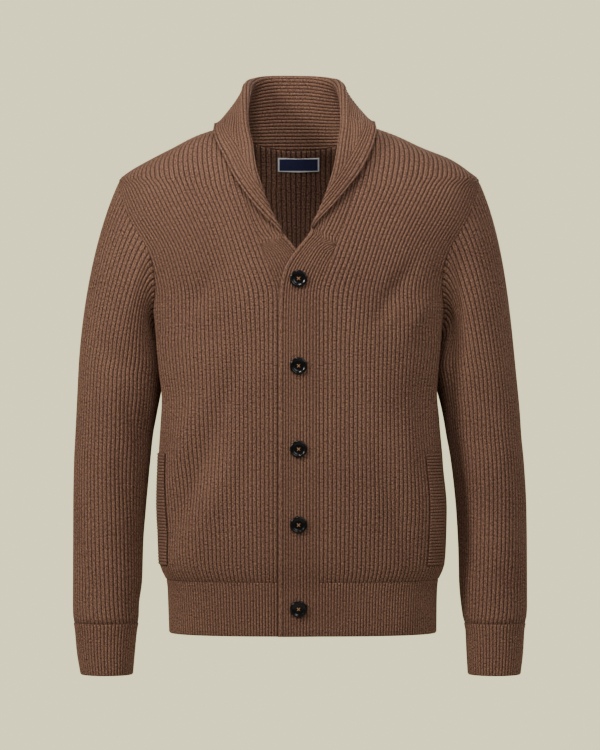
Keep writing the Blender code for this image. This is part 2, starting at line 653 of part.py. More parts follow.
def corner_normals(pieces):
    """Outward directions at each corner. Pieces that meet along a seam share theirs."""
    places = np.concatenate([points for points, _ in pieces.values()])
    tree = KDTree(len(places))
    for number, place in enumerate(places):
        tree.insert(place, number)
    tree.balance()
    same = np.array([min(found[1] for found in tree.find_range(place, 2e-5)) for place in places])
    shared = np.bincount(same)[same] > 1
    total = np.zeros((same.max() + 1, 3))
    start = 0
    for points, faces in pieces.values():
        a, b, c, d = (points[faces[:, corner]] for corner in range(4))
        across = np.cross(c - a, d - b)
        for corner in range(4):
            np.add.at(total, same[start + faces[:, corner]], across)
        start += len(points)
    normals = total[same]
    normals /= np.linalg.norm(normals, axis=1, keepdims=True)
    start = 0
    found = {}
    for name, (points, faces) in pieces.items():
        own, seam = normals[start : start + len(points)], shared[start : start + len(points)]
        # A rim point that only this piece has, between two that are shared, leans as they do.
        ends = rim_edges(faces)
        before, after = np.arange(len(points)), np.arange(len(points))
        after[ends[:, 0]] = ends[:, 1]
        before[ends[:, 1]] = ends[:, 0]
        lone = ~seam & seam[before] & seam[after]
        leaning = own[before] + own[after]
        leaning /= np.linalg.norm(leaning, axis=1, keepdims=True)
        found[name] = np.where(lone[:, None], leaning, own)
        start += len(points)
    return found


def rim_edges(faces):
    """Edges that belong to one facet only, each in that facet's direction."""
    ends = np.concatenate([faces[:, [i, (i + 1) % 4]] for i in range(4)])
    key = np.sort(ends, axis=1)
    _, index, count = np.unique(key, axis=0, return_inverse=True, return_counts=True)
    return ends[count[index.reshape(-1)] == 1]


def inset(points, faces, normals, amount):
    """Moves each rim in along the cloth, which opens the gap at a seam."""
    edges = rim_edges(faces)
    direction = points[edges[:, 1]] - points[edges[:, 0]]
    inward = np.cross(normals[edges[:, 0]] + normals[edges[:, 1]], direction)
    inward /= np.linalg.norm(inward, axis=1, keepdims=True)
    total = np.zeros_like(points)
    for end in (0, 1):
        np.add.at(total, edges[:, end], inward)
    # At a corner the point goes further, so that both of its edges move in by the whole amount.
    size = np.maximum(np.linalg.norm(total, axis=1, keepdims=True), 1e-9)
    return points + total / size * np.minimum(2 / size, 2) * amount


def walled(points, faces, normals, wall):
    """Corners and triangles of a closed wall that reaches half its thickness to each side."""
    count = len(points)
    corners = np.concatenate([points + normals * wall / 2, points - normals * wall / 2])
    a, b, c, d = faces.T
    outer = np.concatenate([np.stack([a, b, c], 1), np.stack([a, c, d], 1)])
    inner = outer[:, ::-1] + count
    one, two = rim_edges(faces).T
    rim = np.concatenate(
        [np.stack([two, one, one + count], 1), np.stack([two, one + count, two + count], 1)]
    )
    return corners, np.concatenate([outer, inner, rim])


def material(name, colour, roughness):
    made = bpy.data.materials.new(name)
    made.use_nodes = True
    shader = made.node_tree.nodes["Principled BSDF"]
    shader.inputs["Base Color"].default_value = (*colour, 1)
    shader.inputs["Roughness"].default_value = roughness
    made.diffuse_color = (*colour, 1)
    return made


def add_object(name, corners, faces, surface):
    mesh = bpy.data.meshes.new(name)
    mesh.from_pydata(corners.tolist(), [], [list(map(int, face)) for face in faces])
    mesh.materials.append(surface)
    mesh.update()
    made = bpy.data.objects.new(name, mesh)
    bpy.context.scene.collection.objects.link(made)
    return made


def add_cloth(pieces, surface):
    normals = corner_normals(pieces)
    for name, (points, faces) in pieces.items():
        moved = inset(points, faces, normals[name], SEAM_GAP / 2)
        add_object(name, *walled(moved, faces, normals[name], WALL), surface)
    return normals


def pocket_welt(side, pieces, normals):
    """A narrow ribbed welt over the pocket slit, on the front's own corners moved out."""
    wales = np.array(POCKET_WALES[side], float)
    rows = np.array(POCKET_ROWS)[:, None] + 0 * wales
    points = cloth(wales[None, :] + 0 * rows, rows, side, FRONT)
    name = "front_left" if side == LEFT else "front_right"
    panel, _ = pieces[name]
    nearest = np.linalg.norm(panel[None] - points.reshape(-1, 1, 3), axis=-1).argmin(1)
    directions = normals[name][nearest]
    faces = grid_faces(*points.shape[:2], None, side == RIGHT)
    lifted = points.reshape(-1, 3) + directions * (WALL + LAYER_GAP)
    return lifted, faces, directions


def neck_label(pieces, normals):
    """A plain woven label inside the back, just under the neck seam."""
    wale = back_wales(LEFT)[1]
    row = len(BODY_ROWS) - 1 + len(UNDERARM_SHARES)
    heights = body_rows([0.0, wale], LEFT, BACK)[row + 6 : row + 8]
    left = cloth(np.array([0.0, wale])[None, :] + 0 * heights, heights, LEFT, BACK)
    right = cloth(np.array([0.0, wale])[None, :] + 0 * heights, heights, RIGHT, BACK)
    points = both_sides(left, right)
    panel, _ = pieces["back"]
    nearest = np.linalg.norm(panel[None] - points.reshape(-1, 1, 3), axis=-1).argmin(1)
    directions = normals["back"][nearest]
    faces = grid_faces(*points.shape[:2], None, True)
    inward = WALL / 2 + LAYER_GAP + LABEL_THICKNESS / 2
    return points.reshape(-1, 3) - directions * inward, faces, directions


def seat(tree, height):
    """Where a flat button rests on the band at this height, and the band's outward direction there."""
    middle, out, _, _ = tree.ray_cast(Vector((0, -1, height)), Vector((0, 1, 0)))
    highest = 0.0
    for angle in np.arange(BUTTON_SIDES) * 2 * np.pi / BUTTON_SIDES:
        for radius in (BUTTON_RADIUS * 0.5, BUTTON_RADIUS * 0.85):
            start = Vector((radius * np.cos(angle), -1, height + radius * np.sin(angle)))
            touch = tree.ray_cast(start, Vector((0, 1, 0)))[0]
            highest = max(highest, (touch - middle).dot(out))
    return middle + out * (highest + LAYER_GAP), out


def turned(profile, sides, x=0.0, z=0.0):
    """Corners and faces of a solid turned about an axis along Y, from rings of (radius, height).

    Heights run towards -Y. The axis passes through x and z.
    """
    angle = np.arange(sides) * 2 * np.pi / sides
    rings = [(x + r * np.cos(angle), 0 * angle - h, z + r * np.sin(angle)) for r, h in profile]
    number = np.arange(len(rings) * sides).reshape(-1, sides)
    following = np.roll(number, -1, axis=1)
    around = np.stack([number[:-1], following[:-1], following[1:], number[1:]], -1).reshape(-1, 4)
    faces = [tuple(face) for face in around] + [tuple(number[0][::-1]), tuple(number[-1])]
    return np.concatenate([np.stack(one, -1) for one in rings]), faces


def put(made, place, out):
    """Stands an object whose front is -Y on a place, facing along `out`."""
    turn = Vector((0, -1, 0)).rotation_difference(out).to_matrix().to_4x4()
    made.matrix_world = Matrix.Translation(place) @ turn


def button(name, place, out, surface):
    """A turned button with a raised rim, a dished middle and four sewing holes."""
    radius, thick = BUTTON_RADIUS, BUTTON_THICKNESS
    profile = (
        (radius * 0.80, 0.0),
        (radius * 0.97, thick * 0.28),
        (radius, thick * 0.55),
        (radius * 0.95, thick * 0.90),
        (radius * 0.84, thick),
        (radius * 0.72, thick * 0.90),
        (radius * 0.60, thick * 0.66),
        (radius * 0.34, thick * DISH),
    )
    made = add_object(name, *turned(profile, BUTTON_SIDES), surface)
    corners, faces = [], []
    for x, z in ((1, 1), (1, -1), (-1, -1), (-1, 1)):
        more, around = turned(
            ((HOLE_RADIUS, -thick), (HOLE_RADIUS, 2 * thick)), HOLE_SIDES, x * HOLE_OFFSET, z * HOLE_OFFSET
        )
        faces += [tuple(corner + len(corners) * len(more) for corner in face) for face in around]
        corners.append(more)
    holes = add_object(name + "_holes", np.concatenate(corners), faces, surface)
    holes.hide_render = True
    holes.display_type = "WIRE"
    cut = made.modifiers.new("sewing_holes", "BOOLEAN")
    cut.operation = "DIFFERENCE"
    cut.solver = "EXACT"
    cut.object = holes
    put(made, place, out)
    put(holes, place, out)


def sewing_thread(name, place, out, surface):
    """Crossed stitches in the button's dish: four arms from the middle, each dipping into one hole."""
    half, reach = THREAD_WIDTH / 2, HOLE_OFFSET * 2**0.5
    floor = BUTTON_THICKNESS * DISH + LAYER_GAP
    # Distance from the middle, and the top and bottom there, above the dish.
    sections = ((half, 0.0011, 0.0), (reach - half, 0.0008, 0.0), (reach + half, 0.0002, -0.0012))
    corners, faces = [], []
    for quarter in range(4):
        angle = np.pi / 4 + quarter * np.pi / 2
        first = len(corners)
        for far, top, bottom in sections:
            for side, level in ((-half, top), (half, top), (half, bottom), (-half, bottom)):
                x = far * np.cos(angle) - side * np.sin(angle)
                z = far * np.sin(angle) + side * np.cos(angle)
                corners.append((x, -floor - level, z))
        for low in (first, first + 4):
            for i, j in ((0, 1), (1, 2), (2, 3), (3, 0)):
                faces.append((low + i, low + 4 + i, low + 4 + j, low + j))
        faces.append((first + 11, first + 10, first + 9, first + 8))
    faces.append((0, 12, 24, 36))
    faces.append((39, 27, 15, 3))
    made = add_object(name, *tidy(np.array(corners), np.array(faces)), surface)
    put(made, place, out)


def main():
    for old in list(bpy.data.objects):
        bpy.data.objects.remove(old)
    knit = material("ribbed_knit", (0.125, 0.060, 0.036), 0.9)
    horn = material("button_black", (0.012, 0.011, 0.011), 0.2)
    thread = material("sewing_thread", (0.420, 0.230, 0.110), 0.7)
    woven = material("label_weave", (0.020, 0.026, 0.090), 0.6)
    pieces = {
        "back": back_panel(),
        "front_left": front_panel(LEFT),
        "front_right": front_panel(RIGHT),
        "sleeve_left": sleeve(LEFT),
        "sleeve_right": sleeve(RIGHT),
        "cuff_left": cuff(LEFT),
        "cuff_right": cuff(RIGHT),
        "hem_back": hem_back(),
        "hem_front_left": hem_front(LEFT),
        "hem_front_right": hem_front(RIGHT),
        "band_and_collar": band_and_collar(),
    }
    normals = add_cloth(pieces, knit)
    for side, name in ((LEFT, "pocket_welt_left"), (RIGHT, "pocket_welt_right")):
        add_object(name, *walled(*pocket_welt(side, pieces, normals), WALL), knit)
    add_object("neck_label", *walled(*neck_label(pieces, normals), LABEL_THICKNESS), woven)
    band = bpy.data.objects["band_and_collar"].data
    tree = BVHTree.FromPolygons([v.co for v in band.vertices], [f.vertices for f in band.polygons])
    for number, height in enumerate(BUTTON_HEIGHTS, 1):
        place, out = seat(tree, height)
        button(f"button_{number}", place, out, horn)
        sewing_thread(f"button_thread_{number}", place, out, thread)


main()
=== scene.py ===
"""Dresses the shawl collar cardigan: ribbed cloth, collar, pocket welts, buttons, thread and neck label.

Metres. +Z is up, the fronts face -Y and the wearer's left is +X. The cloth is laid on a form of
rounded-box rings. A wale number counts ribs round a ring, so every column of a panel climbs one rib.
"""

import logging
from dataclasses import dataclass
from enum import IntEnum
from functools import lru_cache

import bpy
import numpy as np
from mathutils import Matrix, Vector


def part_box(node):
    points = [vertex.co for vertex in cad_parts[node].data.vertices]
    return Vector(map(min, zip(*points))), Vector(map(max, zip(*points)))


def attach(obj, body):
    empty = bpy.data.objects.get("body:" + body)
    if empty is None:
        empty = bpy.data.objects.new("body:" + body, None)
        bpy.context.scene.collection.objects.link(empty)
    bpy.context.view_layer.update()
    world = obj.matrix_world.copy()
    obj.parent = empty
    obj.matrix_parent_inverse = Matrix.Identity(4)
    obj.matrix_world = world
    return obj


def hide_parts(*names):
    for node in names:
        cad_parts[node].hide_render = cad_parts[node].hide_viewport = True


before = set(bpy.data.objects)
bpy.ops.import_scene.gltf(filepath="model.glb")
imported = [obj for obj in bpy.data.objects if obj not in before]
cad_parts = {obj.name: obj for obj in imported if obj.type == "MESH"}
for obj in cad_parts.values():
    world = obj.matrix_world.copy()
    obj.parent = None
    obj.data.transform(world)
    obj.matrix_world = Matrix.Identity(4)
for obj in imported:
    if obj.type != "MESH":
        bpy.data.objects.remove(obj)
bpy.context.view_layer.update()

Array = np.ndarray
Colour = tuple[float, float, float]
log = logging.getLogger("cardigan")


class Side(IntEnum):
    """The wearer's left is +X."""

    LEFT = 1
    RIGHT = -1


class Face(IntEnum):
    """The fronts face -Y."""

    FRONT = -1
    BACK = 1


# ---------------------------------------------------------------- tables and small maths


class Table:
    """Rows of numbers under named columns, read between its rows along a smooth curve."""

    def __init__(self, names: str, rows: tuple[tuple[float, ...], ...] | Array) -> None:
        """Keeps the column names and the rows.

        Args:
            names: column names, parted by spaces. The first is the key.
            rows: one tuple of numbers a row, the keys rising.
        """
        self.names = names.split()
        self.rows = np.array(rows, float)

    def at(self, name: str, key: Array | float) -> Array:
        """Column `name` where the first column is `key`.

        A cubic through the rows, its slope at each the harmonic mean of those beside it, so that
        it never overshoots a row.

        Args:
            name: the column.
            key: where to read it.

        Returns:
            The values, in the shape of `key`.
        """
        x, y = self.rows[:, 0], self.rows[:, self.names.index(name)]
        key = np.clip(np.asarray(key, float), x[0], x[-1])
        step = np.diff(x)
        rise = np.diff(y) / step
        slope = np.zeros_like(y)
        same = rise[1:] * rise[:-1] > 0
        before, after = rise[:-1][same], rise[1:][same]
        slope[1:-1][same] = 2 * before * after / (before + after)
        slope[0], slope[-1] = rise[0], rise[-1]
        i = np.clip(np.searchsorted(x, key) - 1, 0, len(x) - 2)
        t = (key - x[i]) / step[i]
        return (
            y[i] * (1 + 2 * t) * (1 - t) ** 2
            + slope[i] * step[i] * t * (1 - t) ** 2
            + y[i + 1] * t**2 * (3 - 2 * t)
            - slope[i + 1] * step[i] * t**2 * (1 - t)
        )


def smooth_step(value: Array | float, low: float, high: float) -> Array:
    """0 below `low`, 1 above `high` and 3t^2 - 2t^3 between them."""
    share = np.clip((np.asarray(value, float) - low) / (high - low), 0, 1)
    return share * share * (3 - 2 * share)


def unit(vectors: Array) -> Array:
    """Vectors scaled to length one."""
    return vectors / np.maximum(np.linalg.norm(vectors, axis=-1, keepdims=True), 1e-12)


def lengths(points: Array, axis: int) -> Array:
    """Distance run up to each point of polylines that lie along `axis`.

    Args:
        points: (..., 3), lines of points.
        axis: the axis that the lines run along.

    Returns:
        The distances, in the shape of the points without their last axis.
    """
    steps = np.linalg.norm(np.diff(points, axis=axis), axis=-1)
    start = np.zeros_like(np.take(steps, [0], axis=axis))
    return np.concatenate([start, np.cumsum(steps, axis=axis)], axis)


def along(points: Array, run: Array, wanted: Array) -> Array:
    """Points at wanted distances along polylines, by straight lines between their own points.

    Args:
        points: (lines, count, 3).
        run: (lines, count), the distance up to each point.
        wanted: (lines, many).

    Returns:
        (lines, many, 3).
    """
    i = (run[:, None, :] < wanted[:, :, None]).sum(-1) - 1
    i = np.clip(i, 0, run.shape[1] - 2)
    low, high = np.take_along_axis(run, i, 1), np.take_along_axis(run, i + 1, 1)
    share = np.clip((wanted - low) / np.maximum(high - low, 1e-12), 0, 1)[..., None]
    before = np.take_along_axis(points, i[..., None], 1)
    after = np.take_along_axis(points, i[..., None] + 1, 1)
    return before * (1 - share) + after * share


# ---------------------------------------------------------------- the form

# Half widths and depths of the body at each height. `dent` is the hollow under the arm.
BODY = Table(
    "z right_half left_half front back square dent",
    (
        (-0.645, 0.1710, 0.1825, 0.101, 0.097, 2.7, 0.000),
        (-0.610, 0.1722, 0.1828, 0.104, 0.100, 2.7, 0.000),
        (-0.580, 0.1735, 0.1838, 0.107, 0.102, 2.7, 0.000),
        (-0.555, 0.1835, 0.1930, 0.114, 0.108, 2.8, 0.000),
        (-0.530, 0.1865, 0.1950, 0.117, 0.110, 2.8, 0.000),
        (-0.480, 0.1872, 0.1962, 0.120, 0.112, 2.8, 0.000),
        (-0.420, 0.1850, 0.1910, 0.121, 0.113, 2.8, 0.000),
        (-0.360, 0.1843, 0.1885, 0.122, 0.114, 2.7, 0.003),
        (-0.330, 0.1870, 0.1895, 0.122, 0.115, 2.6, 0.010),
        (-0.300, 0.1925, 0.1930, 0.122, 0.115, 2.6, 0.018),
        (-0.270, 0.1965, 0.1965, 0.122, 0.116, 2.6, 0.024),
        (-0.250, 0.1980, 0.1980, 0.122, 0.116, 2.6, 0.024),
        (-0.220, 0.2000, 0.2000, 0.122, 0.116, 2.6, 0.016),
        (-0.195, 0.2040, 0.2040, 0.121, 0.116, 2.5, 0.006),
        (-0.166, 0.2140, 0.2140, 0.1205, 0.1155, 2.5, 0.000),
        (-0.144, 0.2238, 0.2238, 0.1195, 0.115, 2.5, 0.000),
        (-0.1075, 0.2366, 0.2366, 0.1155, 0.111, 2.5, 0.000),
        (-0.0875, 0.2396, 0.2396, 0.112, 0.108, 2.5, 0.000),
        (-0.065, 0.2400, 0.2400, 0.106, 0.103, 2.5, 0.000),
        (-0.045, 0.2380, 0.2395, 0.099, 0.097, 2.4, 0.000),
        (-0.0333, 0.2250, 0.2265, 0.094, 0.093, 2.4, 0.000),
        (-0.0173, 0.1975, 0.2035, 0.087, 0.087, 2.3, 0.000),
        (-0.0013, 0.1665, 0.1640, 0.080, 0.078, 2.3, 0.000),
        (0.0146, 0.1355, 0.1300, 0.072, 0.070, 2.2, 0.000),
        (0.0315, 0.0820, 0.0820, 0.060, 0.058, 2.2, 0.000),
    ),
)

# How far the armhole seam lies in front of and behind the shoulder plane.
ARMHOLE = Table(
    "z front back",
    (
        (-0.250, 0.0000, 0.0000),
        (-0.240, 0.0260, 0.0260),
        (-0.220, 0.0460, 0.0450),
        (-0.195, 0.0610, 0.0590),
        (-0.166, 0.0700, 0.0660),
        (-0.144, 0.0728, 0.0670),
        (-0.1245, 0.0684, 0.0630),
        (-0.1075, 0.0610, 0.0570),
        (-0.0875, 0.0495, 0.0470),
        (-0.065, 0.0340, 0.0330),
        (-0.052, 0.0200, 0.0200),
        (-0.045, 0.0000, 0.0000),
    ),
)

# Wales from the centre to the side seam or armhole, on one front and on half the back.
WALES = Table(
    "z front back",
    (
        (-0.645, 42.0, 46.0),
        (-0.250, 42.0, 46.0),
        (-0.240, 37.7, 42.9),
        (-0.220, 34.4, 40.6),
        (-0.195, 31.9, 39.0),
        (-0.166, 30.5, 38.2),
        (-0.144, 30.0, 38.0),
        (0.040, 30.0, 38.0),
    ),
)

# Where each front's inner edge meets the band and collar.
FRONT_EDGE = Table(
    "z x",
    (
        (-0.645, 0.0273),
        (-0.205, 0.0273),
        (-0.190, 0.0286),
        (-0.177, 0.0326),
        (-0.153, 0.0419),
        (-0.1237, 0.0525),
        (-0.0878, 0.0658),
        (-0.0612, 0.0745),
        (-0.0372, 0.0800),
        (-0.0173, 0.0828),
        (0.0027, 0.0835),
        (0.0315, 0.0820),
    ),
)

# The way the sleeve leaves the armhole seam, by how far round the seam it is from the shoulder.
CAP = Table(
    "round out inward down length",
    (
        (0.00, 0.42, 0.00, 0.91, 0.24),
        (0.12, 0.42, 0.00, 0.90, 0.20),
        (0.25, 0.55, 0.06, 0.83, 0.14),
        (0.33, 0.70, 0.12, 0.70, 0.10),
        (0.42, 0.60, 0.15, 0.78, 0.07),
        (0.50, 0.40, 0.00, 0.92, 0.05),
    ),
)

# The sleeves below the bicep: outer and inner edge seen from the front, half depth and middle.
SLEEVE = Table(
    "z left_outer left_inner right_outer right_inner depth middle",
    (
        (-0.7005, 0.2940, 0.2262, 0.2885, 0.2212, 0.039, -0.014),
        (-0.6717, 0.2975, 0.2245, 0.2935, 0.2187, 0.041, -0.013),
        (-0.6397, 0.2995, 0.2230, 0.2965, 0.2155, 0.044, -0.012),
        (-0.632, 0.3010, 0.2212, 0.2978, 0.2140, 0.046, -0.012),
        (-0.608, 0.3030, 0.2175, 0.2990, 0.2133, 0.048, -0.010),
        (-0.576, 0.3030, 0.2147, 0.2990, 0.2093, 0.050, -0.008),
        (-0.528, 0.3030, 0.2133, 0.2990, 0.2080, 0.052, -0.005),
        (-0.4801, 0.3025, 0.2107, 0.2990, 0.2045, 0.054, -0.002),
        (-0.4163, 0.2990, 0.2040, 0.2980, 0.1987, 0.057, 0.000),
        (-0.3844, 0.2960, 0.1985, 0.2965, 0.1955, 0.058, 0.002),
        (-0.3525, 0.2940, 0.1930, 0.2950, 0.1897, 0.060, 0.003),
        (-0.300, 0.2890, 0.1795, 0.2925, 0.1795, 0.062, 0.003),
    ),
)

# The band and collar, by place along its seam: 0 is the back of the neck, 1 the shoulder seam, 2 the
# armhole turn's height and 3 the hem. The fold is the top of the roll, the edge is the free edge,
# `lift` holds that edge off the cloth behind it and `rolled` says how far the strip is turned over.
STRIP_NAMES = "place fold_x fold_y fold_z edge_x edge_z face lift rolled"
LEFT_STRIP = Table(
    STRIP_NAMES,
    (
        (0.00, -0.0055, 0.0800, 0.1012, 0.0000, -0.0140, 1, 0.007, 1.0),
        (0.25, 0.0140, 0.0790, 0.1008, 0.0270, -0.0130, 1, 0.0075, 1.0),
        (0.50, 0.0330, 0.0715, 0.0990, 0.0520, -0.0080, 1, 0.0075, 1.0),
        (0.75, 0.0470, 0.0540, 0.0950, 0.0800, 0.0050, 1, 0.0075, 1.0),
        (1.00, 0.0545, 0.0120, 0.0830, 0.0985, 0.0275, 1, 0.0075, 1.0),
        (1.055, 0.0562, -0.0230, 0.0580, 0.0993, 0.0146, -1, 0.0095, 1.0),
        (1.16, 0.0566, -0.0510, 0.0320, 0.0975, -0.0010, -1, 0.0095, 1.0),
        (1.32, 0.0525, -0.0795, 0.0010, 0.0900, -0.0225, -1, 0.0095, 1.0),
        (1.48, 0.0472, -0.1020, -0.0310, 0.0790, -0.0425, -1, 0.0095, 1.0),
        (1.60, 0.0401, -0.1135, -0.0555, 0.0640, -0.0615, -1, 0.0095, 1.0),
        (1.74, 0.0308, -0.1180, -0.0795, 0.0460, -0.0825, -1, 0.0095, 1.0),
        (1.85, 0.0211, -0.1205, -0.1010, 0.0262, -0.1022, -1, 0.007, 1.0),
        (1.90, 0.0168, -0.1215, -0.1100, 0.0185, -0.1105, -1, 0.005, 1.0),
        (1.95, 0.0133, -0.1250, -0.1182, 0.0134, -0.1184, -1, 0.002, 0.0),
        (2.02, 0.0007, -0.1250, -0.1345, 0.0007, -0.1345, -1, 0.0015, 0.0),
        (2.05, -0.0100, -0.1250, -0.1480, -0.0100, -0.1480, -1, 0.0025, 0.0),
        (2.09, -0.0190, -0.1250, -0.1640, -0.0190, -0.1640, -1, 0.0032, 0.0),
        (2.14, -0.0250, -0.1250, -0.1900, -0.0250, -0.1900, -1, 0.0032, 0.0),
        (2.21, -0.0266, -0.1250, -0.2400, -0.0266, -0.2400, -1, 0.0032, 0.0),
        (2.28, -0.0266, -0.1250, -0.2843, -0.0266, -0.2843, -1, 0.0032, 0.0),
        (3.00, -0.0266, -0.1250, -0.6450, -0.0266, -0.6450, -1, 0.0032, 0.0),
    ),
)
RIGHT_STRIP = Table(
    STRIP_NAMES,
    (
        (0.00, 0.0055, 0.0800, 0.1012, 0.0000, -0.0140, 1, 0.006, 1.0),
        (0.25, 0.0255, 0.0790, 0.1012, 0.0280, -0.0130, 1, 0.0075, 1.0),
        (0.50, 0.0445, 0.0715, 0.1000, 0.0560, -0.0080, 1, 0.0075, 1.0),
        (0.75, 0.0590, 0.0540, 0.0960, 0.0880, 0.0030, 1, 0.0075, 1.0),
        (1.00, 0.0671, 0.0120, 0.0840, 0.1150, 0.0245, 1, 0.007, 1.0),
        (1.055, 0.0677, -0.0230, 0.0575, 0.1097, 0.0146, -1, 0.0075, 1.0),
        (1.16, 0.0670, -0.0510, 0.0310, 0.1050, -0.0020, -1, 0.0075, 1.0),
        (1.32, 0.0606, -0.0790, -0.0010, 0.0965, -0.0200, -1, 0.0075, 1.0),
        (1.48, 0.0563, -0.1010, -0.0310, 0.0860, -0.0420, -1, 0.0075, 1.0),
        (1.60, 0.0486, -0.1125, -0.0560, 0.0715, -0.0640, -1, 0.0080, 1.0),
        (1.74, 0.0381, -0.1175, -0.0830, 0.0510, -0.0900, -1, 0.0085, 1.0),
        (1.85, 0.0264, -0.1200, -0.1065, 0.0315, -0.1090, -1, 0.007, 1.0),
        (1.90, 0.0198, -0.1215, -0.1160, 0.0218, -0.1170, -1, 0.005, 1.0),
        (1.95, 0.0123, -0.1250, -0.1262, 0.0124, -0.1264, -1, 0.001, 0.0),
        (2.02, -0.0030, -0.1250, -0.1465, -0.0030, -0.1465, -1, -0.0015, 0.0),
        (2.05, -0.0105, -0.1250, -0.1600, -0.0105, -0.1600, -1, -0.0025, 0.0),
        (2.09, -0.0170, -0.1250, -0.1760, -0.0170, -0.1760, -1, -0.0032, 0.0),
        (2.14, -0.0225, -0.1250, -0.2000, -0.0225, -0.2000, -1, -0.0032, 0.0),
        (2.21, -0.0250, -0.1250, -0.2430, -0.0250, -0.2430, -1, -0.0032, 0.0),
        (2.28, -0.0250, -0.1250, -0.2843, -0.0250, -0.2843, -1, -0.0032, 0.0),
        (3.00, -0.0250, -0.1250, -0.6450, -0.0250, -0.6450, -1, -0.0032, 0.0),
    ),
)


@dataclass(frozen=True)
class Form:
    """The figure that the cloth lies on, and where its seams run."""

    wall: float = 0.0024
    layer_gap: float = 0.0005
    hem_bottom: float = -0.645
    hem_seam: float = -0.574
    bicep: float = -0.300
    armpit: float = -0.250
    armhole_turn: float = -0.144
    shoulder_point: float = -0.045
    neck_point: float = 0.0315
    neck_hollow: float = 2.2
    cuff_seam: float = -0.632
    cuff_bottom: float = -0.7005
    dent_half_width: float = 0.065
    ease_reach: float = 0.070  # how far up and down a wale's pitch is evened out
    ease_strength: float = 2.2
    seam_reach: float = 0.100  # the same for the place of a front's inner edge
    snap: float = 0.0001  # nearer to a row's end than this, a point is put on it

    def half_width(self, z: Array, side: Side) -> Array:
        """Half width of the body at height z."""
        return BODY.at("left_half" if side == Side.LEFT else "right_half", z)

    def depth(self, z: Array, face: Face) -> Array:
        """Depth of the body at height z, from the shoulder plane."""
        return BODY.at("front" if face == Face.FRONT else "back", z)

    def ring(self, z: Array, side: Side, face: Face, turn: Array) -> Array:
        """Points of a rounded-box ring: x = w sin^p, y = d cos^p, with p = 2 / squareness.

        Args:
            z: heights.
            side: wearer's left or right.
            face: front or back.
            turn: share of a quarter turn from the centre to the side.

        Returns:
            Points, with the hollow under the arm taken off near y = 0.
        """
        power = 2 / BODY.at("square", z)
        x = self.half_width(z, side) * np.sin(turn * np.pi / 2) ** power
        y = self.depth(z, face) * np.cos(turn * np.pi / 2) ** power
        near = np.clip(y / self.dent_half_width, 0, 1)
        x = x - BODY.at("dent", z) * np.cos(near * np.pi / 2) ** 2
        return np.stack([side * x, face * y, z + 0 * x], -1)

    def rows(self, z: Array, side: Side, face: Face, count: int = 121) -> tuple[Array, Array]:
        """Points along each row of a panel, and the cloth's length up to each.

        Args:
            z: (rows,) heights.
            side: wearer's left or right.
            face: front or back.
            count: points in a row.

        Returns:
            (rows, count, 3) points and (rows, count) lengths.
        """
        square = BODY.at("square", z)
        start = 0 * z
        if face == Face.FRONT:
            inner = np.clip(FRONT_EDGE.at("x", z) / self.half_width(z, side), 0, 1)
            start = np.arcsin(inner ** (square / 2)) / (np.pi / 2)
        outer = ARMHOLE.at("front" if face == Face.FRONT else "back", z) / self.depth(z, face)
        end = np.arccos(outer ** (square / 2)) / (np.pi / 2)
        turn = start[:, None] + (end - start)[:, None] * np.linspace(0, 1, count)
        points = self.ring(z[:, None] + 0 * turn, side, face, turn)
        return points, lengths(points, 1)

    def wale_pitch(self, z: Array, side: Side, face: Face) -> Array:
        """Width of one wale. Over the shoulder it stays as it is at the shoulder point.

        Args:
            z: (rows,) heights.
            side: wearer's left or right.
            face: front or back.

        Returns:
            (rows,) widths.
        """
        z = np.minimum(z, self.shoulder_point)
        _, run = self.rows(z, side, face)
        return run[:, -1] / WALES.at("front" if face == Face.FRONT else "back", z)

    def cloth(self, wale: Array, z: Array, side: Side, face: Face) -> Array:
        """Points of one panel at these wales and heights, arrays of one length.

        Args:
            wale: which wale, for each point.
            z: height, for each point.
            side: wearer's left or right.
            face: front or back.

        Returns:
            (count, 3) points.
        """
        points, run = self.rows(z, side, face)
        wanted = wale * self.wale_pitch(z, side, face)
        wanted = np.where(wanted > run[:, -1] - self.snap, run[:, -1], wanted)
        return along(points, run, self.eased(wanted, run[:, -1], z, side, face)[:, None])[:, 0]

    def eased(self, wanted: Array, whole: Array, z: Array, side: Side, face: Face) -> Array:
        """Distances along a row, moved so that no rib bends sharply where the armhole or the V begins.

        Each is scaled by the mean pitch of the rows around it over the row's own, greatest near
        the start and nothing at either end: (1 - t)^2, eased in over the first part. On a front it
        also moves by the mean of the seam's place over the rows around, less its own place.

        Args:
            wanted: distances from the row's inner end.
            whole: length of each row.
            z: height of each row.
            side: wearer's left or right.
            face: front or back.

        Returns:
            The moved distances.
        """
        heights, change, shift = pitch_change(side, face)
        share = np.clip(wanted / np.maximum(whole, 1e-9), 0, 1)
        pull = np.interp(z, heights, change) * self.ease_strength * (1 - share) ** 2
        moved = wanted * (1 + pull * smooth_step(share, 0, 0.12))
        return moved + np.interp(z, heights, shift) * smooth_step(share, 0.02, 0.30) * (1 - share) ** 1.5

    def shoulder_wale(self, z: Array, side: Side, face: Face) -> Array:
        """Wale that ends on the shoulder seam at height z."""
        _, run = self.rows(z, side, face)
        return run[:, -1] / self.wale_pitch(z, side, face)

    def neck_wale(self, side: Side) -> float:
        """Wale of the back that reaches the top of the shoulder seam."""
        return float(self.shoulder_wale(np.array([self.neck_point]), side, Face.BACK)[0])

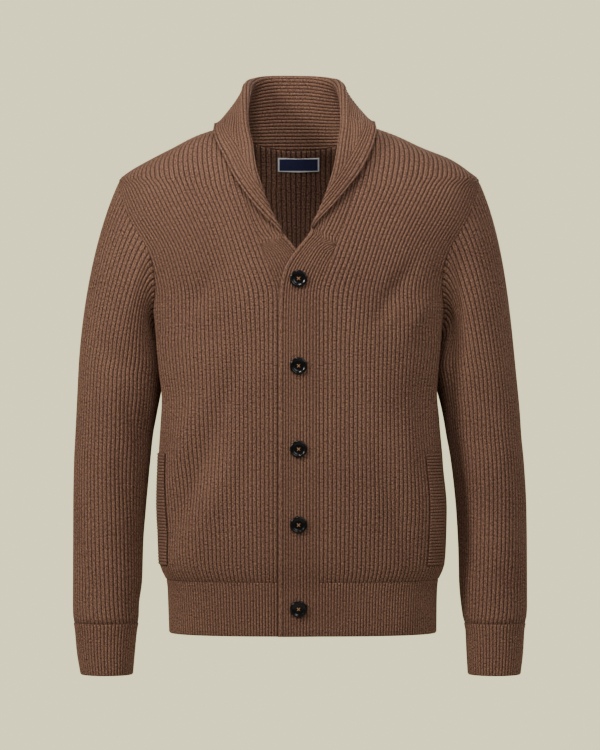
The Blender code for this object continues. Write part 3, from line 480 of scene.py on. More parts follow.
    def top_of(self, wale: Array, side: Side, face: Face) -> Array:
        """Height at which each wale ends: the neck, the shoulder seam or the lower armhole.

        Args:
            wale: wale numbers.
            side: wearer's left or right.
            face: front or back.

        Returns:
            The heights, one for each wale.
        """
        name = "front" if face == Face.FRONT else "back"
        z = np.linspace(self.neck_point, self.shoulder_point, 200)
        top = np.interp(wale, self.shoulder_wale(z, side, face), z)
        if face == Face.BACK:
            neck = self.neck_wale(side)
            hollow = self.neck_point * np.clip(wale / neck, 0, 1) ** self.neck_hollow
            top = np.where(wale < neck, hollow, top)
        low = np.linspace(self.armhole_turn, self.armpit, 100)
        under = np.interp(wale, WALES.at(name, low), low)
        return np.where(wale > WALES.at(name, self.armhole_turn), under, top)

    def point(self, x: Array, z: Array, side: Side, face: Face) -> tuple[Array, Array]:
        """The form at a distance x from the centre line, and its outward direction there.

        Args:
            x: distances to either side.
            z: heights.
            side: wearer's left or right.
            face: front or back.

        Returns:
            Points of the form, and unit vectors out of it.
        """
        square = BODY.at("square", z)
        share = np.clip(np.abs(x) / self.half_width(z, side), 0, 1)
        turn = np.arcsin(share ** (square / 2)) / (np.pi / 2)
        here = self.ring(z, side, face, turn)
        small = 1e-4
        rise = self.ring(z + small, side, face, turn) - self.ring(z - small, side, face, turn)
        one, two = np.clip(turn - 0.002, 1e-4, 1), np.clip(turn + 0.002, 1e-4, 1)
        across = self.ring(z, side, face, two) - self.ring(z, side, face, one)
        return here, unit(np.cross(across, rise) * side * -face)

    def off(self, points: Array, least: Array) -> Array:
        """Points moved straight out of the form until each is at least this far from it.

        The form's swell at a point is (|x/w|^n + |y/d|^n)^(1/n) - 1, which over its own slope is
        about the distance from the form.

        Args:
            points: (..., 3) points outside the form.
            least: the distance that each has to keep.

        Returns:
            The moved points.
        """

        def swell(p: Array) -> Array:
            """How far outside the form a point is, as a share of the form's size.

            Args:
                p: (..., 3) points.

            Returns:
                One number for each, 0 on the form.
            """
            z = np.minimum(p[..., 2], self.neck_point)
            left, right = self.half_width(z, Side.LEFT), self.half_width(z, Side.RIGHT)
            front, back = self.depth(z, Face.FRONT), self.depth(z, Face.BACK)
            square = BODY.at("square", z)
            wide = np.abs(p[..., 0]) / np.where(p[..., 0] > 0, left, right)
            deep = np.abs(p[..., 1]) / np.where(p[..., 1] < 0, front, back)
            return (wide**square + deep**square) ** (1 / square) - 1

        step = 1e-4
        for _ in range(4):
            slope = [(swell(points + move) - swell(points - move)) / (2 * step) for move in np.eye(3) * step]
            slope = np.stack(slope, -1)
            steep = np.linalg.norm(slope, axis=-1)
            short = np.clip(least - swell(points) / steep, 0, 0.02)
            short = short * smooth_step(self.neck_point + 0.006 - points[..., 2], 0, 0.010)
            points = points + slope / steep[..., None] * short[..., None]
        return points


FORM = Form()


@lru_cache(maxsize=None)
def pitch_change(side: Side, face: Face) -> tuple[Array, Array, Array]:
    """How far each row's wale pitch and inner edge are from the means of the rows within reach.

    Args:
        side: wearer's left or right.
        face: front or back.

    Returns:
        Heights, the pitch's change as a share of it, and the edge's in metres.
    """
    z = np.linspace(FORM.hem_seam, FORM.shoulder_point, 300)
    pitch = FORM.wale_pitch(z, side, face)
    edge = FRONT_EDGE.at("x", z) * (face == Face.FRONT)
    steps = np.linspace(-1, 1, 15)
    near = np.mean([np.interp(z + step * FORM.ease_reach, z, pitch) for step in steps], 0)
    inner = np.mean([np.interp(z + step * FORM.seam_reach, z, edge) for step in steps], 0)
    low = smooth_step(z, FORM.hem_seam, FORM.hem_seam + FORM.ease_reach)
    high = smooth_step(FORM.shoulder_point - z, 0.0, FORM.ease_reach)
    return z, (near / pitch - 1) * low, (inner - edge) * low * high


# ---------------------------------------------------------------- cloth


@dataclass(frozen=True)
class Fold:
    """A soft trough or ridge in hanging cloth, along a line seen from the front or the back.

    Its height falls off across the line as a bell curve and fades towards the line's ends.
    """

    face: Face
    start: tuple[float, float]
    end: tuple[float, float]
    height: float
    half_width: float

    def at(self, points: Array) -> Array:
        """Height of this fold at points of the cloth.

        Args:
            points: (count, 3) points of the cloth.

        Returns:
            (count,) heights, which are negative in a trough.
        """
        a, b = np.array(self.start), np.array(self.end)
        flat = points[:, [0, 2]] - a
        line = b - a
        share = np.clip(flat @ line / (line @ line), 0, 1)
        away = np.linalg.norm(flat - share[:, None] * line, axis=1)
        fade = 0.35 + 0.65 * np.sin(share * np.pi)
        seen = smooth_step(points[:, 1] * self.face, -0.010, 0.030)
        return self.height * fade * seen * np.exp(-((away / self.half_width) ** 2))


LEVEL = 0.02  # a row of cloth that climbs less than this share of its length is level
CUT_OFF = 9.0  # taller than any rib, so that a rib that isn't cut off keeps its own height


@dataclass
class Sheet:
    """A piece of cloth as a grid of middle points, before it has a thickness."""

    points: Array  # (rows, columns, 3)
    ribs: Array  # rib number at each point, whole numbers in the valleys
    ended: Array  # where a rib has been cut off by a seam or by its neighbours
    tall: Array | float = 1.0  # how high the ribs stand, against the usual
    flip: bool = False
    keep: Array | None = None  # which facets exist
    ribs_along_rows: bool = False  # ribs cross the columns, not the rows
    strip: bool = False  # a long strip that bends, with each row a cut across it

    def size(self) -> tuple[float, float]:
        """Width and length laid flat: the longest level row and the longest column.

        A row that climbs more than LEVEL of its length is a shaped edge and not a width, but on
        a strip every row counts.

        Returns:
            The two sizes, in metres.
        """
        across = lengths(self.points, 1)[:, -1]
        level = np.ptp(self.points[..., 2], axis=1) < LEVEL * across
        wide = across[level | self.strip].max()
        return float(wide), float(lengths(self.points, 0)[-1].max())

    def joined(self, other: "Sheet") -> "Sheet":
        """This sheet with a mirror half of it set before its first column.

        Args:
            other: the mirror half, its columns counted from the same middle.

        Returns:
            The whole.
        """
        keep = None
        if self.keep is not None and other.keep is not None:
            keep = np.concatenate([other.keep[:, ::-1], self.keep], 1)
        return Sheet(
            np.concatenate([other.points[:, :0:-1], self.points], 1),
            np.concatenate([-other.ribs[:, :0:-1], self.ribs], 1),
            np.concatenate([other.ended[:, :0:-1], self.ended], 1),
            1.0,
            self.flip,
            keep,
        )


@dataclass(frozen=True)
class Ribbing:
    """How ribbed cloth is built up: full ribs on both faces, the valleys of one behind the other's."""

    steps: tuple[float, ...] = (0.0, 0.14, 0.34, 0.5, 0.66, 0.86)  # columns of points in one rib
    valley: float = -0.00010  # from the middle of the cloth to the floor of a valley
    height: float = 0.00145  # from there to the top of a rib
    rim: float = 0.34  # share of that height at an edge or a seam
    course: float = 0.0032  # height of one stitch

    def columns(self, first: int, last: int) -> Array:
        """Rib numbers of the columns of points from one valley to another."""
        whole = np.arange(first, last)[:, None] + np.array(self.steps)
        return np.append(whole.ravel(), last)

    def profile(self, rib: Array) -> Array:
        """Height of a rib: 1 - (1 - f)^3, where f runs from 0 in the valley to 1 on top."""
        away = 1 - 2 * np.abs(rib - np.round(rib))
        return 1 - np.clip(away, 0, 1) ** 3

    def shell(self, name: str, sheet: Sheet, folds: tuple[Fold, ...] = (), lift: float = 0.0) -> "Cloth":
        """Gives a sheet its thickness, ribs and folds, and makes it a mesh.

        Each face of the cloth is the middle moved out by valley + height * profile(rib), and the
        inner face's ribs stand half a rib to the side of the outer face's.

        Args:
            name: the object's name.
            sheet: the middle of the cloth.
            folds: soft folds laid into it.
            lift: how far it's held off the sheet's own place.

        Returns:
            The finished cloth.
        """
        rows, columns = sheet.points.shape[:2]
        flat = sheet.points.reshape(-1, 3)
        _, first, same = np.unique(np.round(flat, 6), axis=0, return_index=True, return_inverse=True)
        same = same.reshape(-1)
        number = np.arange(rows * columns).reshape(rows, columns)
        quads = np.stack([number[:-1, :-1], number[:-1, 1:], number[1:, 1:], number[1:, :-1]], -1)
        if sheet.flip:
            quads = quads[..., ::-1]
        quads = quads[sheet.keep] if sheet.keep is not None else quads.reshape(-1, 4)
        corners = np.concatenate([quads[:, [0, 1, 2]], quads[:, [0, 2, 3]]])
        a, b, c = same[corners].T
        corners = corners[(a != b) & (b != c) & (c != a)]
        used, faces = np.unique(same[corners], return_inverse=True)
        faces = faces.reshape(-1, 3)
        points = flat[first][used]
        # Middle of the cloth: outward directions, then folds.
        normals = self.directions(points, faces)
        away = lift + sum((fold.at(points) for fold in folds), np.zeros(len(points)))
        points = points + normals * away[:, None]
        if folds:
            normals = self.directions(points, faces)
        # Heights of the ribs. Where a seam or another rib cuts one off, both faces dip.
        ribs, ended = sheet.ribs.ravel(), sheet.ended.ravel()
        place = np.full(len(first), -1)
        place[used] = np.arange(len(used))
        place = place[same]
        there = place >= 0
        outer, inner = np.full(len(used), CUT_OFF), np.full(len(used), CUT_OFF)
        cut = np.where(ended, self.rim, CUT_OFF)
        np.minimum.at(outer, place[there], np.minimum(self.profile(ribs), cut)[there])
        np.minimum.at(inner, place[there], np.minimum(self.profile(ribs + 0.5), cut)[there])
        tall = np.broadcast_to(sheet.tall, sheet.ribs.shape).ravel()
        stand = np.ones(len(used))
        stand[place[there]] = tall[there]
        outer = outer * stand
        dips = np.zeros(len(used), bool)
        dips[place[there & ended]] = True
        one, two, rim_corners = self.rim_of(faces, corners)
        dips[one] = dips[two] = True
        outer[dips] = inner[dips] = self.rim
        top = points + normals * (self.valley + self.height * outer)[:, None]
        under = points - normals * (self.valley + self.height * inner)[:, None]
        # The pattern's own coordinates: ribs across, courses along.
        run = lengths(sheet.points, 1 if sheet.ribs_along_rows else 0) / self.course
        pattern = np.stack([ribs, run.ravel()], -1)
        count = len(points)
        rim = np.concatenate(
            [np.stack([two, one, one + count], 1), np.stack([two, one + count, two + count], 1)]
        )
        rim_uv = np.concatenate([rim_corners[:, [1, 0, 0]], rim_corners[:, [1, 0, 1]]])
        all_faces = np.concatenate([faces, faces[:, ::-1] + count, rim])
        uv = np.concatenate([pattern[corners], pattern[corners[:, ::-1]] + [0.5, 0], pattern[rim_uv]])
        made = mesh_object(name, np.concatenate([top, under]), all_faces, uv)
        one_side, other_side = (points[faces[:, k]] - points[faces[:, 0]] for k in (1, 2))
        area = np.linalg.norm(np.cross(one_side, other_side), axis=1).sum() / 2
        return Cloth(made, sheet.size(), float(area))

    @staticmethod
    def directions(points: Array, faces: Array) -> Array:
        """Outward direction at each point: the sum of its facets' cross products, made unit.

        Args:
            points: (count, 3).
            faces: (facets, 3) point numbers.

        Returns:
            (count, 3) unit vectors.
        """
        a, b, c = (points[faces[:, k]] for k in range(3))
        across = np.cross(b - a, c - a)
        total = np.zeros_like(points)
        for k in range(3):
            np.add.at(total, faces[:, k], across)
        return unit(total)

    @staticmethod
    def rim_of(faces: Array, corners: Array) -> tuple[Array, Array, Array]:
        """Edges with a facet on one side only.

        Args:
            faces: triangles of welded points.
            corners: the same triangles by the grid's own numbers.

        Returns:
            Each edge's first and second point, and both as the grid numbers them.
        """
        ends = np.concatenate([faces[:, [k, (k + 1) % 3]] for k in range(3)])
        grid = np.concatenate([corners[:, [k, (k + 1) % 3]] for k in range(3)])
        _, index, count = np.unique(np.sort(ends, axis=1), axis=0, return_inverse=True, return_counts=True)
        lone = count[index.reshape(-1)] == 1
        return ends[lone, 0], ends[lone, 1], grid[lone]


@dataclass
class Cloth:
    """A finished piece of cloth, with the size that it has laid flat."""

    piece: bpy.types.Object
    flat: tuple[float, float]
    area: float

    def declare(self, node: str, held: str, rests_on: list[str], surface: bpy.types.Material) -> None:
        """Dresses the piece, ties it to the frame, hides the solid that it stands for and logs its flat
        size.

        Args:
            node: the solid that it stands for.
            held: how the cloth is held. Not used.
            rests_on: the pieces that it's sewn to or lies on. Not used.
            surface: its finish.
        """
        self.piece.data.materials.append(surface)
        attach(self.piece, "root")
        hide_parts(node)
        wide, tall = self.flat
        area = min(self.area, wide * tall)
        faces = len(self.piece.data.polygons)
        log.info("%s: %.3f x %.3f m flat, %.4f m2, %d faces", self.piece.name, wide, tall, self.area, faces)


def mesh_object(name: str, points: Array, faces: Array, uv: Array) -> bpy.types.Object:
    """A smooth-shaded mesh object of triangles, at the origin.

    Args:
        name: the object's name.
        points: (n, 3).
        faces: (m, 3) corner numbers.
        uv: (m, 3, 2) pattern coordinates of the faces' corners.

    Returns:
        The object, linked into the scene.
    """
    mesh = bpy.data.meshes.new(name)
    mesh.vertices.add(len(points))
    mesh.vertices.foreach_set("co", points.astype(np.float32).ravel())
    mesh.loops.add(faces.size)
    mesh.loops.foreach_set("vertex_index", faces.astype(np.int32).ravel())
    mesh.polygons.add(len(faces))
    mesh.polygons.foreach_set("loop_start", np.arange(0, faces.size, faces.shape[1], dtype=np.int32))
    mesh.polygons.foreach_set("use_smooth", np.ones(len(faces), bool))
    mesh.update(calc_edges=True)
    layer = mesh.uv_layers.new(name="knit")
    layer.data.foreach_set("uv", uv.astype(np.float32).ravel())
    made = bpy.data.objects.new(name, mesh)
    bpy.context.scene.collection.objects.link(made)
    return made


# ---------------------------------------------------------------- finishes


class Wire:
    """One value in a shader. Arithmetic on it adds Math nodes."""

    def __init__(self, graph: "Graph", socket: bpy.types.NodeSocket) -> None:
        """Wraps an output socket."""
        self.graph, self.socket = graph, socket

    def __add__(self, other: "Wire | float") -> "Wire":
        """Sum."""
        return self.graph.maths("ADD", self, other)

    def __sub__(self, other: "Wire | float") -> "Wire":
        """Difference."""
        return self.graph.maths("SUBTRACT", self, other)

    def __rsub__(self, other: float) -> "Wire":
        """Difference from a number."""
        return self.graph.maths("SUBTRACT", other, self)

    def __mul__(self, other: "Wire | float") -> "Wire":
        """Product."""
        return self.graph.maths("MULTIPLY", self, other)

    __radd__ = __add__
    __rmul__ = __mul__

    def size(self) -> "Wire":
        """Its value without its sign."""
        return self.graph.maths("ABSOLUTE", self)

    def part(self) -> "Wire":
        """What's left above the whole number."""
        return self.graph.maths("FRACT", self)

    def sine(self) -> "Wire":
        """Its sine."""
        return self.graph.maths("SINE", self)

    def above(self, limit: float) -> "Wire":
        """1 where it's over the limit, 0 elsewhere."""
        return self.graph.maths("GREATER_THAN", self, limit)

    def most(self, other: "Wire | float") -> "Wire":
        """The greater of the two."""
        return self.graph.maths("MAXIMUM", self, other)

    def spread(self, low: float, high: float, to_low: float = 0.0, to_high: float = 1.0) -> "Wire":
        """Mapped from one range to another along a smooth step.

        Args:
            low: where the step starts.
            high: where it ends.
            to_low: value up to its start.
            to_high: value past its end.

        Returns:
            The mapped value.
        """
        made = self.graph.node(
            "ShaderNodeMapRange",
            {"interpolation_type": "SMOOTHSTEP"},
            {0: self, 1: low, 2: high, 3: to_low, 4: to_high},
        )
        return Wire(self.graph, made.outputs[0])


class Graph:
    """The shader of one finish, built as expressions."""

    def __init__(self, name: str) -> None:
        """Makes a material with one Principled shader.

        Args:
            name: the finish's name.
        """
        self.material = bpy.data.materials.new(name)
        self.material.use_nodes = True
        self.tree = self.material.node_tree
        self.shader = self.tree.nodes["Principled BSDF"]

    def node(self, kind: str, settings: dict, inputs: dict) -> bpy.types.Node:
        """Adds a node.

        Args:
            kind: the node's type.
            settings: its properties, set before its sockets.
            inputs: values or wires, by the socket's name or number.

        Returns:
            The node.
        """
        made = self.tree.nodes.new(kind)
        for name, value in settings.items():
            setattr(made, name, value)
        self.feed(made, inputs)
        return made

    def feed(self, node: bpy.types.Node, inputs: dict) -> None:
        """Sets or links sockets of a node.

        Args:
            node: the node.
            inputs: values or wires, by the socket's name or number.
        """
        for name, value in inputs.items():
            if isinstance(value, Wire):
                self.tree.links.new(value.socket, node.inputs[name])
            else:
                node.inputs[name].default_value = value

    def maths(self, operation: str, *values: Wire | float) -> Wire:
        """A Math node on wires and numbers."""
        made = self.node("ShaderNodeMath", {"operation": operation}, dict(enumerate(values)))
        return Wire(self, made.outputs[0])

    def place(self) -> Wire:
        """The point's own place on the object, in metres."""
        return Wire(self, self.node("ShaderNodeTexCoord", {}, {}).outputs["Object"])

    def parts(self, vector: Wire) -> tuple[Wire, Wire, Wire]:
        """The three numbers of a vector."""
        made = self.node("ShaderNodeSeparateXYZ", {}, {0: vector})
        return tuple(Wire(self, out) for out in made.outputs)

    def scaled(self, vector: Wire, by: tuple[float, float, float]) -> Wire:
        """A vector with each of its numbers multiplied."""
        made = self.node("ShaderNodeVectorMath", {"operation": "MULTIPLY"}, {0: vector, 1: by})
        return Wire(self, made.outputs[0])

    def noise(self, place: Wire, scale: float, detail: float = 2.0) -> Wire:
        """Soft noise with about `scale` patches a metre."""
        inputs = {"Vector": place, "Scale": scale, "Detail": detail}
        return Wire(self, self.node("ShaderNodeTexNoise", {}, inputs).outputs[0])

    def mixed(self, share: Wire, one: Wire | Colour, two: Wire | Colour) -> Wire:
        """Two colours mixed.

        Args:
            share: how much of the second.
            one: the first colour.
            two: the second colour.

        Returns:
            The mix.
        """
        ready = [value if isinstance(value, Wire) else (*value, 1.0) for value in (one, two)]
        made = self.node("ShaderNodeMix", {"data_type": "RGBA"}, {0: share, 6: ready[0], 7: ready[1]})
        return Wire(self, made.outputs[2])

    def shaded(self, colour: Wire, share: Wire) -> Wire:
        """A colour made darker by a share."""
        made = self.node("ShaderNodeVectorMath", {"operation": "SCALE"}, {0: colour, "Scale": share})
        return Wire(self, made.outputs[0])

    def bump(self, height: Wire, distance: float, strength: float) -> Wire:
        """A normal bent by a height."""
        inputs = {"Strength": strength, "Distance": distance, "Height": height}
        return Wire(self, self.node("ShaderNodeBump", {}, inputs).outputs[0])


@dataclass(frozen=True)
class KnitFinish:
    """Heathered wool in ribs of V-shaped stitches, with painted shade in the valleys, between courses and
    down the middle of each rib.
    """

    name: str = "ribbed_knit"
    dark_yarn: Colour = (0.082, 0.034, 0.022)
    light_yarn: Colour = (0.305, 0.168, 0.103)
    mauve_yarn: Colour = (0.178, 0.095, 0.083)
    # painted shade: how dark the colour is made at the floor of a valley
    valley_shade: float = 0.24
    fleck_size: tuple[float, float] = (0.20, 0.72)  # in ribs and courses
    tone_scale: float = 12.0
    slant: float = 1.3  # how steeply the legs of a stitch climb

    def build(self) -> bpy.types.Material:
        """The finish as a material, which reads the cloth's own rib and course numbers.

        Returns:
            The material.
        """
        graph = Graph(self.name)
        uv = Wire(graph, graph.node("ShaderNodeUVMap", {"uv_map": "knit"}, {}).outputs[0])
        rib, course, _ = graph.parts(uv)
        place = graph.place()
        off_top = (rib.part() - 0.5).size() * 2.0
        leg = ((course + off_top * self.slant * 0.5) * (2 * np.pi)).sine() * 0.5 + 0.5
        centre = off_top.spread(0.0, 0.16, 0.80, 1.0)
        wide, tall = self.fleck_size
        plies = graph.scaled(uv, (1 / wide, 1 / tall, 1.0))
        fleck = graph.noise(plies, 1.0, 3.0)
        strand = graph.noise(graph.scaled(uv, (0.45 / wide, 0.5 / tall, 1.0)), 1.0, 1.0)
        tone = graph.noise(place, self.tone_scale, 1.0)
        fibre = graph.noise(place, 2400.0, 2.0)
        heather = (fleck * 0.93 + tone * 0.07).spread(0.40, 0.61)
        colour = graph.mixed(heather, self.dark_yarn, self.light_yarn)
        colour = graph.mixed(strand.spread(0.50, 0.66, 0.0, 0.55), colour, self.mauve_yarn)
        # Painted shade: the colour is darkened in each rib's valley, between courses of stitches and along
        # the rib's middle, where the relief would hold shade.
        shade = off_top.spread(0.50, 1.0, 1.0, self.valley_shade) * leg.spread(0.0, 0.7, 0.95, 1.0) * centre
        height = leg * 0.22 * centre + fleck * 0.30 + fibre * 0.20
        graph.feed(
            graph.shader,
            {
                "Base Color": graph.shaded(colour, shade),
                "Roughness": fleck.spread(0.2, 0.8, 0.80, 0.95),
                "Sheen Weight": 0.10,
                "Sheen Roughness": 0.45,
                "Sheen Tint": (0.80, 0.52, 0.42, 1.0),
                "Specular IOR Level": 0.20,
                "Normal": graph.bump(height, 0.0006, 0.65),
            },
        )
        return graph.material


@dataclass(frozen=True)
class HornFinish:
    """Polished black button, very slightly streaked and rubbed."""

    name: str = "button_black"
    black: Colour = (0.0030, 0.0028, 0.0028)
    brown: Colour = (0.0085, 0.0062, 0.0052)

    def build(self) -> bpy.types.Material:
        """The finish as a material.

        Returns:
            The material.
        """
        graph = Graph(self.name)
        place = graph.place()
        streak = graph.noise(place, 220.0, 4.0)
        scuff = graph.noise(place, 1500.0, 3.0)
        graph.feed(
            graph.shader,
            {
                "Base Color": graph.mixed(streak.spread(0.5, 0.75), self.black, self.brown),
                "Roughness": scuff.spread(0.3, 0.75, 0.15, 0.27),
                "Specular IOR Level": 0.30,
                "Normal": graph.bump(scuff, 0.00008, 0.25),
            },
        )
        return graph.material


@dataclass(frozen=True)
class ThreadFinish:
    """Twisted tan sewing thread."""

    name: str = "sewing_thread"
    tan: Colour = (0.42, 0.22, 0.10)
    shadow: Colour = (0.20, 0.095, 0.04)

    def build(self) -> bpy.types.Material:
        """The finish as a material: slanting plies, from the sine of x + z.

        Returns:
            The material.
        """
        graph = Graph(self.name)
        place = graph.place()
        x, _, z = graph.parts(place)
        ply = ((x * 0.7 + z) * 9000.0).sine() * 0.5 + 0.5
        fuzz = graph.noise(place, 3000.0, 2.0)
        graph.feed(
            graph.shader,
            {
                "Base Color": graph.mixed(ply * 0.7 + fuzz * 0.3, self.shadow, self.tan),
                "Roughness": fuzz.spread(0.2, 0.8, 0.6, 0.8),
                "Normal": graph.bump(ply, 0.0002, 0.6),
            },
        )
        return graph.material


@dataclass(frozen=True)
class LabelFinish:
    """Woven label: a bare navy field inside a white border."""

    name: str = "label_weave"
    navy: Colour = (0.020, 0.022, 0.085)
    white: Colour = (0.93, 0.93, 0.95)
    border: float = 0.0021
    threads: float = 2600.0

    def build(self, lowest: Vector, highest: Vector) -> bpy.types.Material:
        """The finish as a material, its border measured in from the label's own edges.

        Args:
            lowest: lowest corner of the label.
            highest: highest corner of the label.

        Returns:
            The material.
        """
        graph = Graph(self.name)
        place = graph.place()
        x, _, z = graph.parts(place)
        half_x, half_z = (highest.x - lowest.x) / 2, (highest.z - lowest.z) / 2
        wide = (x - (highest.x + lowest.x) / 2).size().above(half_x - self.border)
        tall = (z - (highest.z + lowest.z) / 2).size().above(half_z - self.border)
        weft = (z * self.threads * 2 * np.pi).sine() * 0.5 + 0.5
        warp = (x * self.threads * 2 * np.pi).sine() * 0.5 + 0.5
        weave = weft * 0.6 + warp * 0.4
        colour = graph.mixed(wide.most(tall), self.navy, self.white)
        graph.feed(
            graph.shader,
            {
                # painted shade between the threads of the weave
                "Base Color": graph.shaded(colour, weave.spread(0.0, 1.0, 0.88, 1.0)),
                "Roughness": weave.spread(0.0, 1.0, 0.55, 0.75),
                "Normal": graph.bump(weave, 0.0001, 0.5),
            },
        )
        return graph.material


# ---------------------------------------------------------------- sub-assemblies


@dataclass(frozen=True)
class Body:
    """The two fronts, the back and the ribbed hems below them."""

    knit: bpy.types.Material
    ribbing: Ribbing
    front_ribs: int = 42
    back_ribs: int = 46
    hem_pitch: float = 0.0039
    row_step: float = 0.0085
    underarm_rows: int = 18
    chest_rows: int = 21
    hem_rows: int = 9
    seam_step: float = 0.0015  # height of the first and last row of a hem, beside its edges
    front_folds: tuple[Fold, ...] = (
        Fold(Face.FRONT, (-0.176, -0.530), (-0.108, -0.372), -0.0077, 0.017),
        Fold(Face.FRONT, (-0.108, -0.372), (-0.080, -0.290), -0.0046, 0.014),
        Fold(Face.FRONT, (-0.137, -0.535), (-0.074, -0.385), 0.0041, 0.016),
        Fold(Face.FRONT, (-0.165, -0.440), (-0.128, -0.330), 0.0046, 0.016),
        Fold(Face.FRONT, (0.098, -0.236), (0.150, -0.158), -0.0057, 0.013),
        Fold(Face.FRONT, (0.136, -0.256), (0.176, -0.196), 0.0036, 0.013),
        Fold(Face.FRONT, (0.150, -0.548), (0.100, -0.395), -0.0046, 0.016),
        Fold(Face.FRONT, (-0.150, -0.228), (-0.105, -0.160), -0.0036, 0.013),
        Fold(Face.FRONT, (0.170, -0.430), (0.158, -0.300), -0.0039, 0.012),
    )
    back_folds: tuple[Fold, ...] = (
        Fold(Face.BACK, (-0.160, -0.520), (-0.095, -0.365), -0.0066, 0.017),
        Fold(Face.BACK, (0.150, -0.505), (0.080, -0.330), -0.0062, 0.018),
        Fold(Face.BACK, (0.110, -0.520), (0.045, -0.400), 0.0039, 0.016),
        Fold(Face.BACK, (-0.040, -0.540), (-0.020, -0.430), -0.0036, 0.018),
        Fold(Face.BACK, (-0.155, -0.250), (-0.095, -0.150), -0.0046, 0.014),
        Fold(Face.BACK, (0.158, -0.240), (0.110, -0.165), -0.0054, 0.013),
        Fold(Face.BACK, (0.020, -0.135), (0.120, -0.110), -0.0031, 0.018),
    )

    def heights(self, wales: Array, side: Side, face: Face) -> tuple[Array, int]:
        """Heights of every row of points at each wale, and the row where the armhole turns.

        Args:
            wales: (columns,) wale numbers.
            side: wearer's left or right.
            face: front or back.

        Returns:
            (rows, columns) heights, and the number of the armhole turn's row.
        """
        top = FORM.top_of(wales, side, face)
        turn = np.minimum(top, FORM.armhole_turn)
        low = np.arange(FORM.hem_seam + 0.002, FORM.bicep - 0.004, self.row_step)
        low = np.concatenate([[FORM.hem_seam], low])
        under = np.linspace(0, 1, self.underarm_rows)
        chest = np.append(np.linspace(0, 0.985, self.chest_rows)[1:], 1.0)
        rows = [z + 0 * wales for z in low]
        rows += [FORM.bicep + (turn - FORM.bicep) * share for share in under]
        rows += [turn + (top - turn) * share for share in chest]
        return np.array(rows), len(low) + len(under) - 1

    def panel(self, wales: Array, side: Side, face: Face) -> Sheet:
        """Half of the body as a grid: each column climbs one wale from the hem seam to its end.

        Args:
            wales: (columns,) wale numbers from the centre out.
            side: wearer's left or right.
            face: front or back.

        Returns:
            The half as a sheet.
        """
        rows, turn = self.heights(wales, side, face)
        points = np.stack([FORM.cloth(wales, row, side, face) for row in rows])
        keep = np.ones((len(rows) - 1, len(wales) - 1), bool)
        last = WALES.at("front" if face == Face.FRONT else "back", FORM.armhole_turn)
        keep[turn:, wales[:-1] >= last - 1e-6] = False
        ribs = wales[None, :] + 0 * rows
        return Sheet(points, ribs, np.zeros_like(ribs, bool), 1.0, side == Side.RIGHT, keep)

    def hem(self, side: Side, face: Face) -> Sheet:
        """Half of the hem: finer ribs over the same width of cloth.

        Args:
            side: wearer's left or right.
            face: front or back.

        Returns:
            The half as a sheet.
        """
        whole = self.front_ribs if face == Face.FRONT else self.back_ribs
        z = np.linspace(FORM.hem_bottom + self.seam_step, FORM.hem_seam - self.seam_step, self.hem_rows)
        z = np.concatenate([[FORM.hem_bottom], z, [FORM.hem_seam]])
        _, run = FORM.rows(np.array([(FORM.hem_bottom + FORM.hem_seam) / 2]), side, face)
        count = int(round(run[0, -1] / self.hem_pitch))
        ribs = self.ribbing.columns(0, count)
        points = np.stack([FORM.cloth(ribs / count * whole, height + 0 * ribs, side, face) for height in z])
        ribs = ribs[None, :] + 0 * z[:, None]
        return Sheet(points, ribs, np.zeros_like(ribs, bool), 1.0, side == Side.RIGHT)

    def make(self) -> None:
        """Builds and dresses all six pieces."""
        for side, name in ((Side.LEFT, "left"), (Side.RIGHT, "right")):
            panel = self.panel(self.ribbing.columns(0, self.front_ribs), side, Face.FRONT)
            cloth = self.ribbing.shell(f"front_{name}_knit", panel, self.front_folds)
            around = ["back", "band_and_collar", f"sleeve_{name}"]
            cloth.declare(f"front_{name}", "hung", around, self.knit)
            cloth = self.ribbing.shell(f"hem_front_{name}_knit", self.hem(side, Face.FRONT))
            cloth.declare(f"hem_front_{name}", "hung", [f"front_{name}"], self.knit)
        columns = self.ribbing.columns(0, self.back_ribs)
        left = self.panel(columns, Side.LEFT, Face.BACK)
        whole = left.joined(self.panel(columns, Side.RIGHT, Face.BACK))
        whole.flip = True
        cloth = self.ribbing.shell("back_knit", whole, self.back_folds)
        cloth.declare("back", "hung", ["band_and_collar", "front_left", "front_right"], self.knit)
        whole = self.hem(Side.LEFT, Face.BACK).joined(self.hem(Side.RIGHT, Face.BACK))
        whole.flip = True
        self.ribbing.shell("hem_back_knit", whole).declare("hem_back", "hung", ["back"], self.knit)


